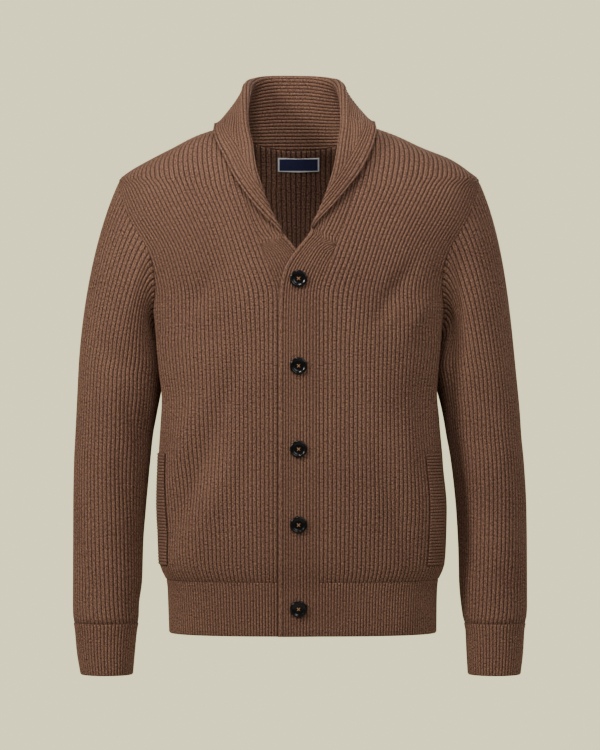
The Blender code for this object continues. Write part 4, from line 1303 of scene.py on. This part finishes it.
@dataclass(frozen=True)
class Sleeve:
    """One sleeve and its cuff, hanging from the armhole seam."""

    knit: bpy.types.Material
    ribbing: Ribbing
    side: Side
    bicep_ribs: int = 33  # from the outer edge to the underarm seam, on one half
    cuff_ribs: int = 28
    cap_rows: int = 24
    row_step: float = 0.009
    cuff_rows: int = 9
    seam_step: float = 0.0015
    folds: tuple[Fold, ...] = ()

    def ring(self, z: float, around: Array) -> Array:
        """A hanging ring: an ellipse, 0 at the outer edge, 0.25 in front and 0.5 at the inner edge.

        Args:
            z: height.
            around: turns round the ring.

        Returns:
            (..., 3) points, in the shape of `around`.
        """
        name = "left" if self.side == Side.LEFT else "right"
        outer, inner = SLEEVE.at(name + "_outer", z), SLEEVE.at(name + "_inner", z)
        angle = around * 2 * np.pi
        x = (outer + inner) / 2 + (outer - inner) / 2 * np.cos(angle)
        y = SLEEVE.at("middle", z) - SLEEVE.at("depth", z) * np.sin(angle)
        return np.stack([self.side * x, y, z + 0 * x], -1)

    def half_ring(self, z: float, face: Face) -> tuple[Array, Array, Array]:
        """Half a ring from its outer to its inner edge, with its lengths and turns.

        Args:
            z: height.
            face: front or back.

        Returns:
            (1, count, 3) points, (1, count) lengths and (count,) turns.
        """
        around = np.linspace(0, 0.5, 181) if face == Face.FRONT else np.linspace(1, 0.5, 181)
        points = self.ring(z, around)[None]
        return points, lengths(points, 1), around

    def armhole(self, face: Face) -> tuple[Array, Array]:
        """The armhole seam from the shoulder point down to the armpit, and its lengths.

        Args:
            face: front or back.

        Returns:
            (1, count, 3) points and (1, count) lengths.
        """
        name = "front" if face == Face.FRONT else "back"
        last = float(WALES.at(name, FORM.armhole_turn))
        side_wales = np.linspace(last, 42.0 if face == Face.FRONT else 46.0, 40)[1:]
        high = np.linspace(FORM.shoulder_point, FORM.armhole_turn, 60)
        heights = np.concatenate([high, FORM.top_of(side_wales, self.side, face)])
        wales = np.concatenate([0 * high + last, side_wales])
        points = FORM.cloth(wales, heights, self.side, face)[None]
        return points, lengths(points, 1)

    def cap(self, face: Face, ribs: Array) -> Array:
        """The sleeve's top: each rib leaves the seam and curves into the bicep ring.

        A cubic from the seam point to the ring point, with the cap's own direction at the start
        and the hanging sleeve's at the end.

        Args:
            face: front or back.
            ribs: (columns,) rib numbers from the outer edge.

        Returns:
            (rows, columns, 3) points from the seam to the bicep.
        """
        ring, run, turns = self.half_ring(FORM.bicep, face)
        wanted = ribs[None] / self.bicep_ribs * run[:, -1:]
        around = np.interp(wanted[0], run[0], turns)
        near = np.minimum(around, 1 - around)
        seam, seam_run = self.armhole(face)
        start = along(seam, seam_run, near[None] * 2 * seam_run[:, -1:])[0]
        low = smooth_step(FORM.armhole_turn - start[:, 2], 0, 0.012) * (FORM.wall + FORM.layer_gap)
        leave = np.stack(
            [self.side * CAP.at("out", near), -face * CAP.at("inward", near), -CAP.at("down", near)], -1
        )
        leave = leave * CAP.at("length", near)[:, None]
        bicep = self.ring(FORM.bicep, around)
        arrive = (self.ring(FORM.bicep - 0.01, around) - bicep) / 0.01 * CAP.at("length", near)[:, None]
        rows = []
        for t in np.concatenate([[0.0, 0.015], np.linspace(0.04, 1, self.cap_rows)]):
            apart = (low * smooth_step(t, -0.01, 0.04))[:, None] * np.array([self.side, 0, 0])
            rows.append(
                (start + apart) * (1 + 2 * t) * (1 - t) ** 2
                + leave * t * (1 - t) ** 2
                + bicep * t**2 * (3 - 2 * t)
                - arrive * t**2 * (1 - t)
            )
        return np.array(rows)

    def half(self, face: Face) -> Sheet:
        """The front or back half from armhole to cuff. Ribs run out on the underarm seam.

        Args:
            face: front or back.

        Returns:
            The half as a sheet.
        """
        ribs = self.ribbing.columns(0, self.bicep_ribs)
        cap = self.cap(face, ribs)
        _, run, _ = self.half_ring(FORM.bicep, face)
        pitch = run[0, -1] / self.bicep_ribs
        ended = [np.zeros((len(cap), len(ribs)), bool)]
        hanging = []
        z = np.arange(FORM.bicep - self.row_step, FORM.cuff_seam + 0.004, -self.row_step)
        z = np.append(z, FORM.cuff_seam)
        for height in z:
            points, run, _ = self.half_ring(height, face)
            wanted = ribs[None] * pitch
            over = wanted >= run[:, -1:] - 1e-6
            hanging.append(along(points, run, np.where(over, run[:, -1:], wanted))[0])
            ended.append(over)
        ended = np.concatenate(ended)
        ended[:, -1] = True
        points = np.concatenate([cap, hanging])
        return Sheet(points, ribs[None] + np.zeros((len(points), 1)), ended, 1.0, self.side == Side.RIGHT)

    def cuff_half(self, face: Face) -> Sheet:
        """The front or back half of the cuff.

        Args:
            face: front or back.

        Returns:
            The half as a sheet.
        """
        ribs = self.ribbing.columns(0, self.cuff_ribs)
        z = np.linspace(FORM.cuff_seam - self.seam_step, FORM.cuff_bottom + self.seam_step, self.cuff_rows)
        z = np.concatenate([[FORM.cuff_seam], z, [FORM.cuff_bottom]])
        rows = []
        for height in z:
            points, run, _ = self.half_ring(height, face)
            rows.append(along(points, run, ribs[None] / self.cuff_ribs * run[:, -1:])[0])
        ribs = ribs[None] + np.zeros((len(z), 1))
        return Sheet(np.array(rows), ribs, np.zeros_like(ribs, bool), 1.0, self.side == Side.RIGHT)

    def make(self) -> None:
        """Builds and dresses the sleeve and the cuff."""
        name = "left" if self.side == Side.LEFT else "right"
        whole = self.half(Face.FRONT).joined(self.half(Face.BACK))
        cloth = self.ribbing.shell(f"sleeve_{name}_knit", whole, self.folds)
        cloth.declare(f"sleeve_{name}", "hung", [f"front_{name}", "back"], self.knit)
        whole = self.cuff_half(Face.FRONT).joined(self.cuff_half(Face.BACK))
        cloth = self.ribbing.shell(f"cuff_{name}_knit", whole)
        cloth.declare(f"cuff_{name}", "hung", [f"sleeve_{name}"], self.knit)


@dataclass(frozen=True)
class BandAndCollar:
    """One ribbed strip: the buttoned band, turned over into a collar from the break up.

    Ribs lie beside the fold on the stand and the fall. The outermost ribs lie beside the free edge
    instead, and the others run out against them.
    """

    knit: bpy.types.Material
    ribbing: Ribbing
    fold_radius: float = 0.0058
    least_radius: float = 0.0020
    roll_start: float = 0.42
    roll_end: float = 0.58
    edge_ribs: int = 5
    selvedge_width: float = 1.65  # in ribs
    selvedge_height: float = 1.35
    band_ribs: int = 13
    collar_pitch: float = 0.0046
    break_place: float = 2.02
    even_places: tuple[float, float] = (1.88, 2.04)  # where the ribs spread to fill the band
    lift_share: float = 0.86  # by how far down the fall it is fully lifted off the cloth
    band_crown: float = 0.0012
    rows_neck: int = 17
    rows_front: int = 31
    rows_band: int = 60

    def places(self) -> Array:
        """Rows of points, by place along the seam.

        Returns:
            (rows,) places, from 0 at the back of the neck to 3 at the hem.
        """
        return np.concatenate(
            [
                np.linspace(0, 1, self.rows_neck)[:-1],
                np.linspace(1, 2, self.rows_front)[:-1],
                np.linspace(2, 2.997, self.rows_band),
                [3.0],
            ]
        )

    def seam(self, place: Array, side: Side) -> Array:
        """The strip's seam: round the back neck, over the shoulder seam and down the front's edge.

        Args:
            place: (rows,) places along the seam.
            side: wearer's left or right.

        Returns:
            (rows, 3) points.
        """
        neck = FORM.neck_wale(side) * np.clip(place, 0, 1)
        back = FORM.cloth(neck, FORM.top_of(neck, side, Face.BACK), side, Face.BACK)
        drop = FORM.neck_point - FORM.armhole_turn
        upper = FORM.neck_point - (place - 1) * drop
        lower = FORM.armhole_turn - (place - 2) * (FORM.armhole_turn - FORM.hem_bottom)
        z = np.clip(np.where(place < 2, upper, lower), FORM.hem_bottom, FORM.neck_point)
        front = FORM.cloth(0 * z, z, side, Face.FRONT)
        return np.where((place < 1)[:, None], back, front)

    def edge_on_form(self, table: Table, place: Array, side: Side) -> Array:
        """The free edge: on the form at its x and z, then lifted off it.

        Args:
            table: the strip's table for this side.
            place: (rows,) places along the seam.
            side: wearer's left or right.

        Returns:
            (rows, 3) points.
        """
        x, z, lift = (table.at(name, place) for name in ("edge_x", "edge_z", "lift"))
        sign = np.stack([np.where(x < 0, -1, 1), 1 + 0 * x, 1 + 0 * x], -1)
        both = []
        for face in (Face.FRONT, Face.BACK):
            here, out = FORM.point(x, z, side, face)
            both.append((here + out * lift[:, None]) * sign)
        return np.where((table.at("face", place) < 0)[:, None], both[0], both[1])

    @staticmethod
    def bend(start: Array, pull: Array, end: Array, share: Array) -> Array:
        """Points along a quadratic curve from start to end that leans towards `pull`.

        Args:
            start: (rows, 3) first points.
            pull: (rows, 3) points that the curves lean towards.
            end: (rows, 3) last points.
            share: how far along each point is, clipped to 0 and 1.

        Returns:
            (rows, count, 3) points.
        """
        share = np.clip(share, 0, 1)
        leaning = pull[:, None] * 2 * share * (1 - share)
        return start[:, None] * (1 - share) ** 2 + leaning + end[:, None] * share**2

    def section(self, side: Side) -> tuple[Array, Array, Array]:
        """The strip's cross-section at every place: stand, half-round roll, then the fall.

        Args:
            side: wearer's left or right.

        Returns:
            (rows, count, 3) points from seam to free edge, the length from the seam to the fold,
            and the places.
        """
        table = LEFT_STRIP if side == Side.LEFT else RIGHT_STRIP
        place = self.places()
        seam = self.seam(place, side)
        edges = self.edge_on_form(table, table.rows[:, 0], side)
        edge_table = Table("place x y z", np.column_stack([table.rows[:, 0], edges]))
        edge = np.stack([edge_table.at(name, place) for name in "xyz"], -1)
        edge = np.where((place > self.break_place)[:, None], self.edge_on_form(table, place, side), edge)
        fold = np.stack([table.at("fold_" + name, place) for name in "xyz"], -1) * [side, 1, 1]
        rolled = table.at("rolled", place)[:, None, None]
        lead = unit(np.gradient(fold, axis=0))
        up = fold - seam
        up = unit(up - lead * (up * lead).sum(1, keepdims=True))
        out = np.cross(up, lead) * side
        fall = np.linalg.norm(edge - fold, axis=1, keepdims=True)
        radius = np.maximum(self.fold_radius * smooth_step(fall, 0.0, 0.045), self.least_radius)
        middle = fold - up * radius
        inner, outer = middle - out * radius, middle + out * radius
        share = np.concatenate(
            [
                np.linspace(0, self.roll_start, 40)[:-1],
                np.linspace(self.roll_start, self.roll_end, 17)[:-1],
                np.linspace(self.roll_end, 1, 41),
            ]
        )[None, :, None]
        height = np.linalg.norm(inner - seam, axis=1, keepdims=True)
        stand = self.bend(seam, inner - up * 0.4 * height, inner, share / self.roll_start)
        turn = np.clip((share - self.roll_start) / (self.roll_end - self.roll_start), 0, 1) * np.pi
        roll = middle[:, None] + (np.sin(turn) * up[:, None] - np.cos(turn) * out[:, None]) * radius[:, None]
        lying = smooth_step(place, 1.0, 1.35)[:, None]
        down = unit(-up * lying - np.array([0, 0, 1]) * (1 - lying))
        below = (share - self.roll_end) / (1 - self.roll_end)
        drop = self.bend(outer, outer + down * 0.14 * fall, edge, below)
        turned = np.where(share < self.roll_start, stand, np.where(share > self.roll_end, drop, roll))
        lift = table.at("lift", place)[:, None] * smooth_step(share[..., 0], self.roll_end, self.lift_share)
        lying_out = (share >= self.roll_end) & (rolled > 0.4)
        turned = np.where(lying_out, FORM.off(turned, lift), turned)
        flat = seam[:, None] * (1 - share) + edge[:, None] * share
        flat = flat + 4 * share * (1 - share) * self.band_crown * np.array([0, -1, 0])
        points = flat * (1 - rolled) + turned * rolled
        run = lengths(points, 1)
        at_fold = run[:, np.argmin(np.abs(share[0, :, 0] - 0.5))]
        rolled = rolled[:, 0, 0]
        return points, at_fold * rolled + run[:, -1] * (1 - rolled), place

    def sheet(self) -> Sheet:
        """Both halves of the strip as one grid of ribs.

        Returns:
            The whole strip, from the right hem round the neck to the left hem.
        """
        halves = {side: self.section(side) for side in (Side.LEFT, Side.RIGHT)}
        runs = {side: lengths(points, 1) for side, (points, _, _) in halves.items()}
        pitches = {}
        for side, (_, _, place) in halves.items():
            band = runs[side][:, -1] / self.band_ribs
            share = smooth_step(place, *self.even_places)
            pitches[side] = self.collar_pitch * (1 - share) + band * share
        stand_top, fall_top = 0, 0
        for side, (_, fold, _) in halves.items():
            edge_zone = runs[side][:, -1] - self.edge_ribs * pitches[side]
            stand_top = max(stand_top, int(np.ceil((fold / pitches[side]).max())))
            fall_top = max(fall_top, int(np.ceil(((edge_zone - fold) / pitches[side]).max())))
        stand = self.ribbing.columns(0, stand_top)[::-1]
        fall = self.ribbing.columns(0, fall_top)
        edge = self.ribbing.columns(0, self.edge_ribs)[::-1]
        inset = np.interp(edge, [0, 1, self.edge_ribs], [0, self.selvedge_width, self.edge_ribs])
        grids, ends = {}, {}
        for side, (points, fold, _) in halves.items():
            run, pitch = runs[side], pitches[side][:, None]
            total, fold = run[:, -1:], fold[:, None]
            limit = total - self.edge_ribs * pitch
            on_stand = fold - stand * pitch
            on_fall = fold + fall * pitch
            ended = [(on_stand <= 1e-6) | (on_stand >= limit - 1e-6), on_fall >= limit - 1e-6]
            wanted = [np.clip(on_stand, 0, limit), np.minimum(on_fall, limit), total - inset * pitch]
            ended.append(np.broadcast_to(edge == self.edge_ribs, wanted[2].shape) & (limit > fold))
            grids[side] = along(points, run, np.concatenate(wanted, 1))
            ends[side] = np.concatenate(ended, 1)
        middle = (grids[Side.LEFT][:1] + grids[Side.RIGHT][:1]) / 2
        points = np.concatenate([grids[Side.RIGHT][:0:-1], middle, grids[Side.LEFT][1:]])
        ended = np.concatenate([ends[Side.RIGHT][:0:-1], ends[Side.LEFT]])
        ribs = np.concatenate([-stand, fall, edge])[None] + np.zeros((len(points), 1))
        tall = np.concatenate([0 * stand + 1, 0 * fall + 1, np.where(edge < 1, self.selvedge_height, 1)])
        return Sheet(points, ribs, ended, tall, strip=True)

    def make(self) -> None:
        """Builds and dresses the strip."""
        cloth = self.ribbing.shell("band_and_collar_knit", self.sheet())
        rests = ["back", "front_left", "front_right"]
        cloth.declare("band_and_collar", "folded", rests, self.knit)


@dataclass(frozen=True)
class PocketWelts:
    """Narrow welts with ribs across them, sewn over the pocket slits."""

    knit: bpy.types.Material
    ribbing: Ribbing
    folds: tuple[Fold, ...]
    inner_rib_left: float = 27.0
    inner_rib_right: float = 30.0
    width: float = 6.0  # in ribs of the front
    bottom: float = -0.553
    top: float = -0.406
    ribs: int = 36

    def sheet(self, side: Side) -> Sheet:
        """One welt, lying on the front between two of its wales.

        Args:
            side: wearer's left or right.

        Returns:
            The welt as a sheet.
        """
        ribs = self.ribbing.columns(0, self.ribs)
        z = self.bottom + (self.top - self.bottom) * ribs / self.ribs
        first = self.inner_rib_left if side == Side.LEFT else self.inner_rib_right
        wales = first + np.concatenate([[0.0], np.linspace(0.18, self.width - 0.18, 9), [self.width]])
        points = np.stack([FORM.cloth(wales, height + 0 * wales, side, Face.FRONT) for height in z])
        numbers = ribs[:, None] + 0 * wales
        return Sheet(points, numbers, np.zeros_like(numbers, bool), 1.0, side == Side.RIGHT, None, True)

    def make(self) -> None:
        """Builds and dresses both welts."""
        for side, name in ((Side.LEFT, "left"), (Side.RIGHT, "right")):
            lift = FORM.wall + FORM.layer_gap
            cloth = self.ribbing.shell(f"pocket_welt_{name}_knit", self.sheet(side), self.folds, lift)
            cloth.declare(f"pocket_welt_{name}", "laid", [f"front_{name}"], self.knit)


@dataclass(frozen=True)
class Buttons:
    """Five turned buttons with a raised rim, a dished middle and four sewing holes."""

    horn: bpy.types.Material
    thread: bpy.types.Material
    count: int = 5
    radius: float = 0.0112
    thickness: float = 0.0036
    dish: float = 0.60
    hole_radius: float = 0.0010
    hole_offset: float = 0.0016
    sides: int = 64
    hole_sides: int = 16
    crease: float = 38.0  # degrees between facets past which an edge is sharp

    def turned(self, profile: Array, sides: int, x: float = 0.0, z: float = 0.0) -> tuple[Array, list]:
        """A solid turned about an axis along Y, from rings of (radius, height) with heights to -Y.

        Args:
            profile: (rings, 2).
            sides: points in a ring.
            x: where the axis passes.
            z: where the axis passes.

        Returns:
            Points and faces.
        """
        angle = np.arange(sides) * 2 * np.pi / sides
        radius, height = profile[:, :1], profile[:, 1:]
        rings = np.stack([x + radius * np.cos(angle), 0 * angle - height, z + radius * np.sin(angle)], -1)
        number = np.arange(len(profile) * sides).reshape(-1, sides)
        following = np.roll(number, -1, axis=1)
        around = np.stack([number[:-1], following[:-1], following[1:], number[1:]], -1).reshape(-1, 4)
        faces = around.tolist() + [number[0][::-1].tolist(), number[-1].tolist()]
        return rings.reshape(-1, 3), faces

    def rough(self, name: str, points: Array, faces: list) -> bpy.types.Object:
        """An object of faces with any number of corners.

        Args:
            name: the object's name.
            points: (count, 3).
            faces: corner numbers of each face.

        Returns:
            The object, linked into the scene.
        """
        mesh = bpy.data.meshes.new(name)
        mesh.from_pydata(points.tolist(), [], faces)
        made = bpy.data.objects.new(name, mesh)
        bpy.context.scene.collection.objects.link(made)
        return made

    def blank(self) -> bpy.types.Mesh:
        """The button's mesh, lying at the origin and facing -Y.

        Returns:
            The mesh, with its sewing holes cut.
        """
        r, t = self.radius, self.thickness
        rows = (
            (0.78, 0.0), (0.86, 0.03), (0.94, 0.14), (0.985, 0.32), (1.0, 0.52), (0.99, 0.70),
            (0.955, 0.86), (0.90, 0.97), (0.84, 1.0), (0.78, 0.97), (0.72, 0.88), (0.66, 0.76),
            (0.60, 0.68), (0.52, 0.63), (0.42, 0.605), (0.34, self.dish),
        )
        body = self.rough("button_blank", *self.turned(np.array(rows) * [r, t], self.sides))
        points, faces = [], []
        for x, z in ((1, 1), (1, -1), (-1, -1), (-1, 1)):
            profile = np.array(((self.hole_radius, -t), (self.hole_radius, 2 * t)))
            more, around = self.turned(profile, self.hole_sides, x * self.hole_offset, z * self.hole_offset)
            faces += [[corner + len(points) * len(more) for corner in face] for face in around]
            points.append(more)
        drill = self.rough("button_drill", np.concatenate(points), faces)
        cut = body.modifiers.new("sewing_holes", "BOOLEAN")
        cut.operation, cut.solver, cut.object = "DIFFERENCE", "EXACT", drill
        evaluated = body.evaluated_get(bpy.context.evaluated_depsgraph_get())
        mesh = bpy.data.meshes.new_from_object(evaluated)
        mesh.name = "button"
        for old in (body, drill):
            bpy.data.objects.remove(old)
        return mesh

    def seat(self, node: bpy.types.Object) -> tuple[Vector, Vector]:
        """The middle of a button's back, and the way that it faces, read from its solid.

        A disc's points vary least along its axis, so that axis is the last singular vector.

        Args:
            node: the button's solid.

        Returns:
            The middle of its back and its unit axis.
        """
        points = np.empty(len(node.data.vertices) * 3, np.float32)
        node.data.vertices.foreach_get("co", points)
        points = np.unique(np.round(points.reshape(-1, 3), 6), axis=0).astype(float)
        rim = points[np.linalg.norm(points - points.mean(0), axis=1) > self.radius * 0.75]
        middle = rim.mean(0)
        axis = np.linalg.svd(rim - middle)[2][2]
        axis = axis if axis[1] < 0 else -axis
        back = (points - middle) @ axis
        return Vector(middle + axis * back.min()), Vector(axis)

    def make(self) -> None:
        """Builds and dresses the buttons, and gives the threads their finish."""
        blank = self.blank()
        for number in range(1, self.count + 1):
            place, out = self.seat(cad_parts[f"button_{number}"])
            mesh = blank.copy()
            turn = Vector((0, -1, 0)).rotation_difference(out).to_matrix().to_4x4()
            mesh.transform(Matrix.Translation(place) @ turn)
            mesh.materials.clear()
            mesh.materials.append(self.horn)
            made = bpy.data.objects.new(f"button_{number}_turned", mesh)
            bpy.context.scene.collection.objects.link(made)
            mesh.shade_smooth()
            mesh.set_sharp_from_angle(angle=np.radians(self.crease))
            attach(made, "root")
            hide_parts(f"button_{number}")
            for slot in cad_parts[f"button_thread_{number}"].material_slots:
                slot.material = self.thread
            log.info("%s at %.3f m", made.name, place.z)


@dataclass(frozen=True)
class Studio:
    """Camera, soft light, a pale floor and a plain backdrop all round, under the hanging garment."""

    aim: tuple[float, float, float] = (0.002, 0.0, -0.303)
    distance: float = 5.0
    lens: float = 180.0
    backdrop: Colour = (1.38, 1.31, 0.78)
    backdrop_radius: float = 18.0
    ambient: Colour = (0.16, 0.155, 0.15)
    floor_height: float = -0.95
    floor_radius: float = 1.2
    floor_sides: int = 96
    rings: int = 16
    ring_sides: int = 32

    def lamp(
        self,
        name: str,
        place: tuple[float, float, float],
        power: float,
        size: float,
        tint: Colour,
        at: tuple[float, float, float] | None = None,
        spread: float = 180.0,
    ) -> None:
        """A square soft light.

        Args:
            name: the light's name.
            place: where it stands.
            power: watts.
            size: side of the square, in metres.
            tint: its colour.
            at: what it points at, which is the garment's middle unless given.
            spread: how wide its beam is, in degrees.
        """
        data = bpy.data.lights.new(name, "AREA")
        data.energy, data.size, data.color, data.spread = power, size, tint, np.radians(spread)
        made = bpy.data.objects.new(name, data)
        made.location = place
        made.rotation_euler = (Vector(at or self.aim) - Vector(place)).to_track_quat("-Z", "Y").to_euler()
        bpy.context.scene.collection.objects.link(made)

    def staged(self, name: str, points: Array, faces: list, surface: bpy.types.Material) -> bpy.types.Object:
        """An object that belongs to the studio.

        Args:
            name: the object's name.
            points: (count, 3).
            faces: corner numbers of each face.
            surface: its finish.

        Returns:
            The object.
        """
        mesh = bpy.data.meshes.new(name)
        mesh.from_pydata(points.tolist(), [], faces)
        mesh.materials.append(surface)
        made = bpy.data.objects.new(name, mesh)
        bpy.context.scene.collection.objects.link(made)
        return made

    def surroundings(self) -> None:
        """A plain globe that the camera sees behind the garment and that no light falls from."""
        graph = Graph("backdrop_paper")
        graph.feed(
            graph.shader,
            {
                "Base Color": (0.0, 0.0, 0.0, 1.0),
                "Specular IOR Level": 0.0,
                "Roughness": 1.0,
                "Emission Color": (*self.backdrop, 1.0),
                "Emission Strength": 1.0,
            },
        )
        polar = np.linspace(0, np.pi, self.rings + 1)[:, None]
        angle = np.arange(self.ring_sides) * 2 * np.pi / self.ring_sides
        x, y = np.sin(polar) * np.cos(angle), np.sin(polar) * np.sin(angle)
        points = np.stack([x, y, np.cos(polar) + 0 * angle], -1).reshape(-1, 3) * self.backdrop_radius
        number = np.arange(len(points)).reshape(-1, self.ring_sides)
        following = np.roll(number, -1, axis=1)
        faces = np.stack([number[:-1], number[1:], following[1:], following[:-1]], -1).reshape(-1, 4)
        globe = self.staged("backdrop", points, faces.tolist(), graph.material)
        globe.visible_diffuse = globe.visible_glossy = globe.visible_shadow = False
        globe.visible_transmission = globe.visible_volume_scatter = False

    def make(self) -> None:
        """Builds the camera, the lights, the backdrop and the floor."""
        data = bpy.data.cameras.new("camera")
        data.lens = self.lens
        camera = bpy.data.objects.new("camera", data)
        camera.location = Vector(self.aim) - Vector((0, self.distance, 0))
        camera.rotation_euler = (np.pi / 2, 0, 0)
        bpy.context.scene.collection.objects.link(camera)
        bpy.context.scene.camera = camera
        self.lamp("key", (-2.5, -2.1, 1.3), power=92.0, size=0.8, tint=(1.0, 0.97, 0.94))
        self.lamp("front_fill", (1.9, -4.0, 1.5), power=56.0, size=1.5, tint=(1.0, 0.99, 0.98))
        self.lamp("neck_light", (-0.2, -1.25, 1.35), power=1.2, size=0.4, tint=(1.0, 0.98, 0.95),
                  at=(0.0, 0.05, -0.03), spread=40.0)
        self.lamp("side_light", (3.6, -0.9, 1.4), power=20.0, size=1.6, tint=(1.0, 0.99, 0.97))
        self.lamp("back_light", (1.6, 3.6, 1.6), power=55.0, size=2.2, tint=(1.0, 0.98, 0.96))
        world = bpy.data.worlds.new("studio")
        world.use_nodes = True
        world.node_tree.nodes["Background"].inputs["Color"].default_value = (*self.ambient, 1)
        bpy.context.scene.world = world
        self.surroundings()
        angle = np.arange(self.floor_sides) * 2 * np.pi / self.floor_sides
        rim = np.stack([self.floor_radius * np.cos(angle), self.floor_radius * np.sin(angle)], -1)
        points = np.column_stack([rim, np.full(self.floor_sides, self.floor_height)])
        graph = Graph("pale_floor")
        grain = graph.noise(graph.place(), 30.0, 2.0)
        tones = graph.mixed(grain, (0.66, 0.64, 0.55), (0.70, 0.68, 0.59))
        graph.feed(graph.shader, {"Base Color": tones, "Roughness": 0.9})
        self.staged("floor", points, [list(range(self.floor_sides))], graph.material)


# Creases of the sleeves: at the elbow, along the inner side and above the cuff.
LEFT_SLEEVE_FOLDS = (
    Fold(Face.FRONT, (0.214, -0.150), (0.201, -0.340), -0.0085, 0.014),
    Fold(Face.FRONT, (0.203, -0.350), (0.220, -0.560), -0.0050, 0.012),
    Fold(Face.FRONT, (0.232, -0.318), (0.268, -0.372), -0.0046, 0.011),
    Fold(Face.FRONT, (0.222, -0.352), (0.246, -0.412), -0.0030, 0.010),
    Fold(Face.FRONT, (0.262, -0.548), (0.290, -0.596), -0.0025, 0.009),
    Fold(Face.BACK, (0.236, -0.330), (0.274, -0.392), -0.0038, 0.012),
    Fold(Face.BACK, (0.228, -0.560), (0.262, -0.600), -0.0025, 0.009),
)
RIGHT_SLEEVE_FOLDS = (
    Fold(Face.FRONT, (-0.262, -0.262), (-0.214, -0.308), -0.0049, 0.011),
    Fold(Face.FRONT, (-0.232, -0.330), (-0.206, -0.392), -0.0038, 0.011),
    Fold(Face.FRONT, (-0.240, -0.400), (-0.222, -0.480), -0.0029, 0.011),
    Fold(Face.FRONT, (-0.282, -0.566), (-0.250, -0.604), -0.0023, 0.009),
    Fold(Face.BACK, (-0.230, -0.318), (-0.272, -0.380), -0.0042, 0.012),
    Fold(Face.BACK, (-0.226, -0.470), (-0.246, -0.540), -0.0027, 0.011),
)


def dress_label(surface: LabelFinish) -> None:
    """Gives the neck label its finish.

    Args:
        surface: the label's weave.
    """
    lowest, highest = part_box("neck_label")
    woven = surface.build(Vector(lowest), Vector(highest))
    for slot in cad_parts["neck_label"].material_slots:
        slot.material = woven
    log.info("neck_label is left bare")


def main() -> None:
    """Builds every sub-assembly in order."""
    logging.basicConfig(level=logging.INFO, format="%(name)s: %(message)s")
    Studio().make()
    knit, ribbing = KnitFinish().build(), Ribbing()
    body = Body(knit, ribbing)
    body.make()
    Sleeve(knit, ribbing, Side.LEFT, folds=LEFT_SLEEVE_FOLDS).make()
    Sleeve(knit, ribbing, Side.RIGHT, folds=RIGHT_SLEEVE_FOLDS).make()
    BandAndCollar(knit, ribbing).make()
    PocketWelts(knit, ribbing, body.front_folds).make()
    Buttons(HornFinish().build(), ThreadFinish().build()).make()
    dress_label(LabelFinish())


if __name__ == "__main__":
    main()
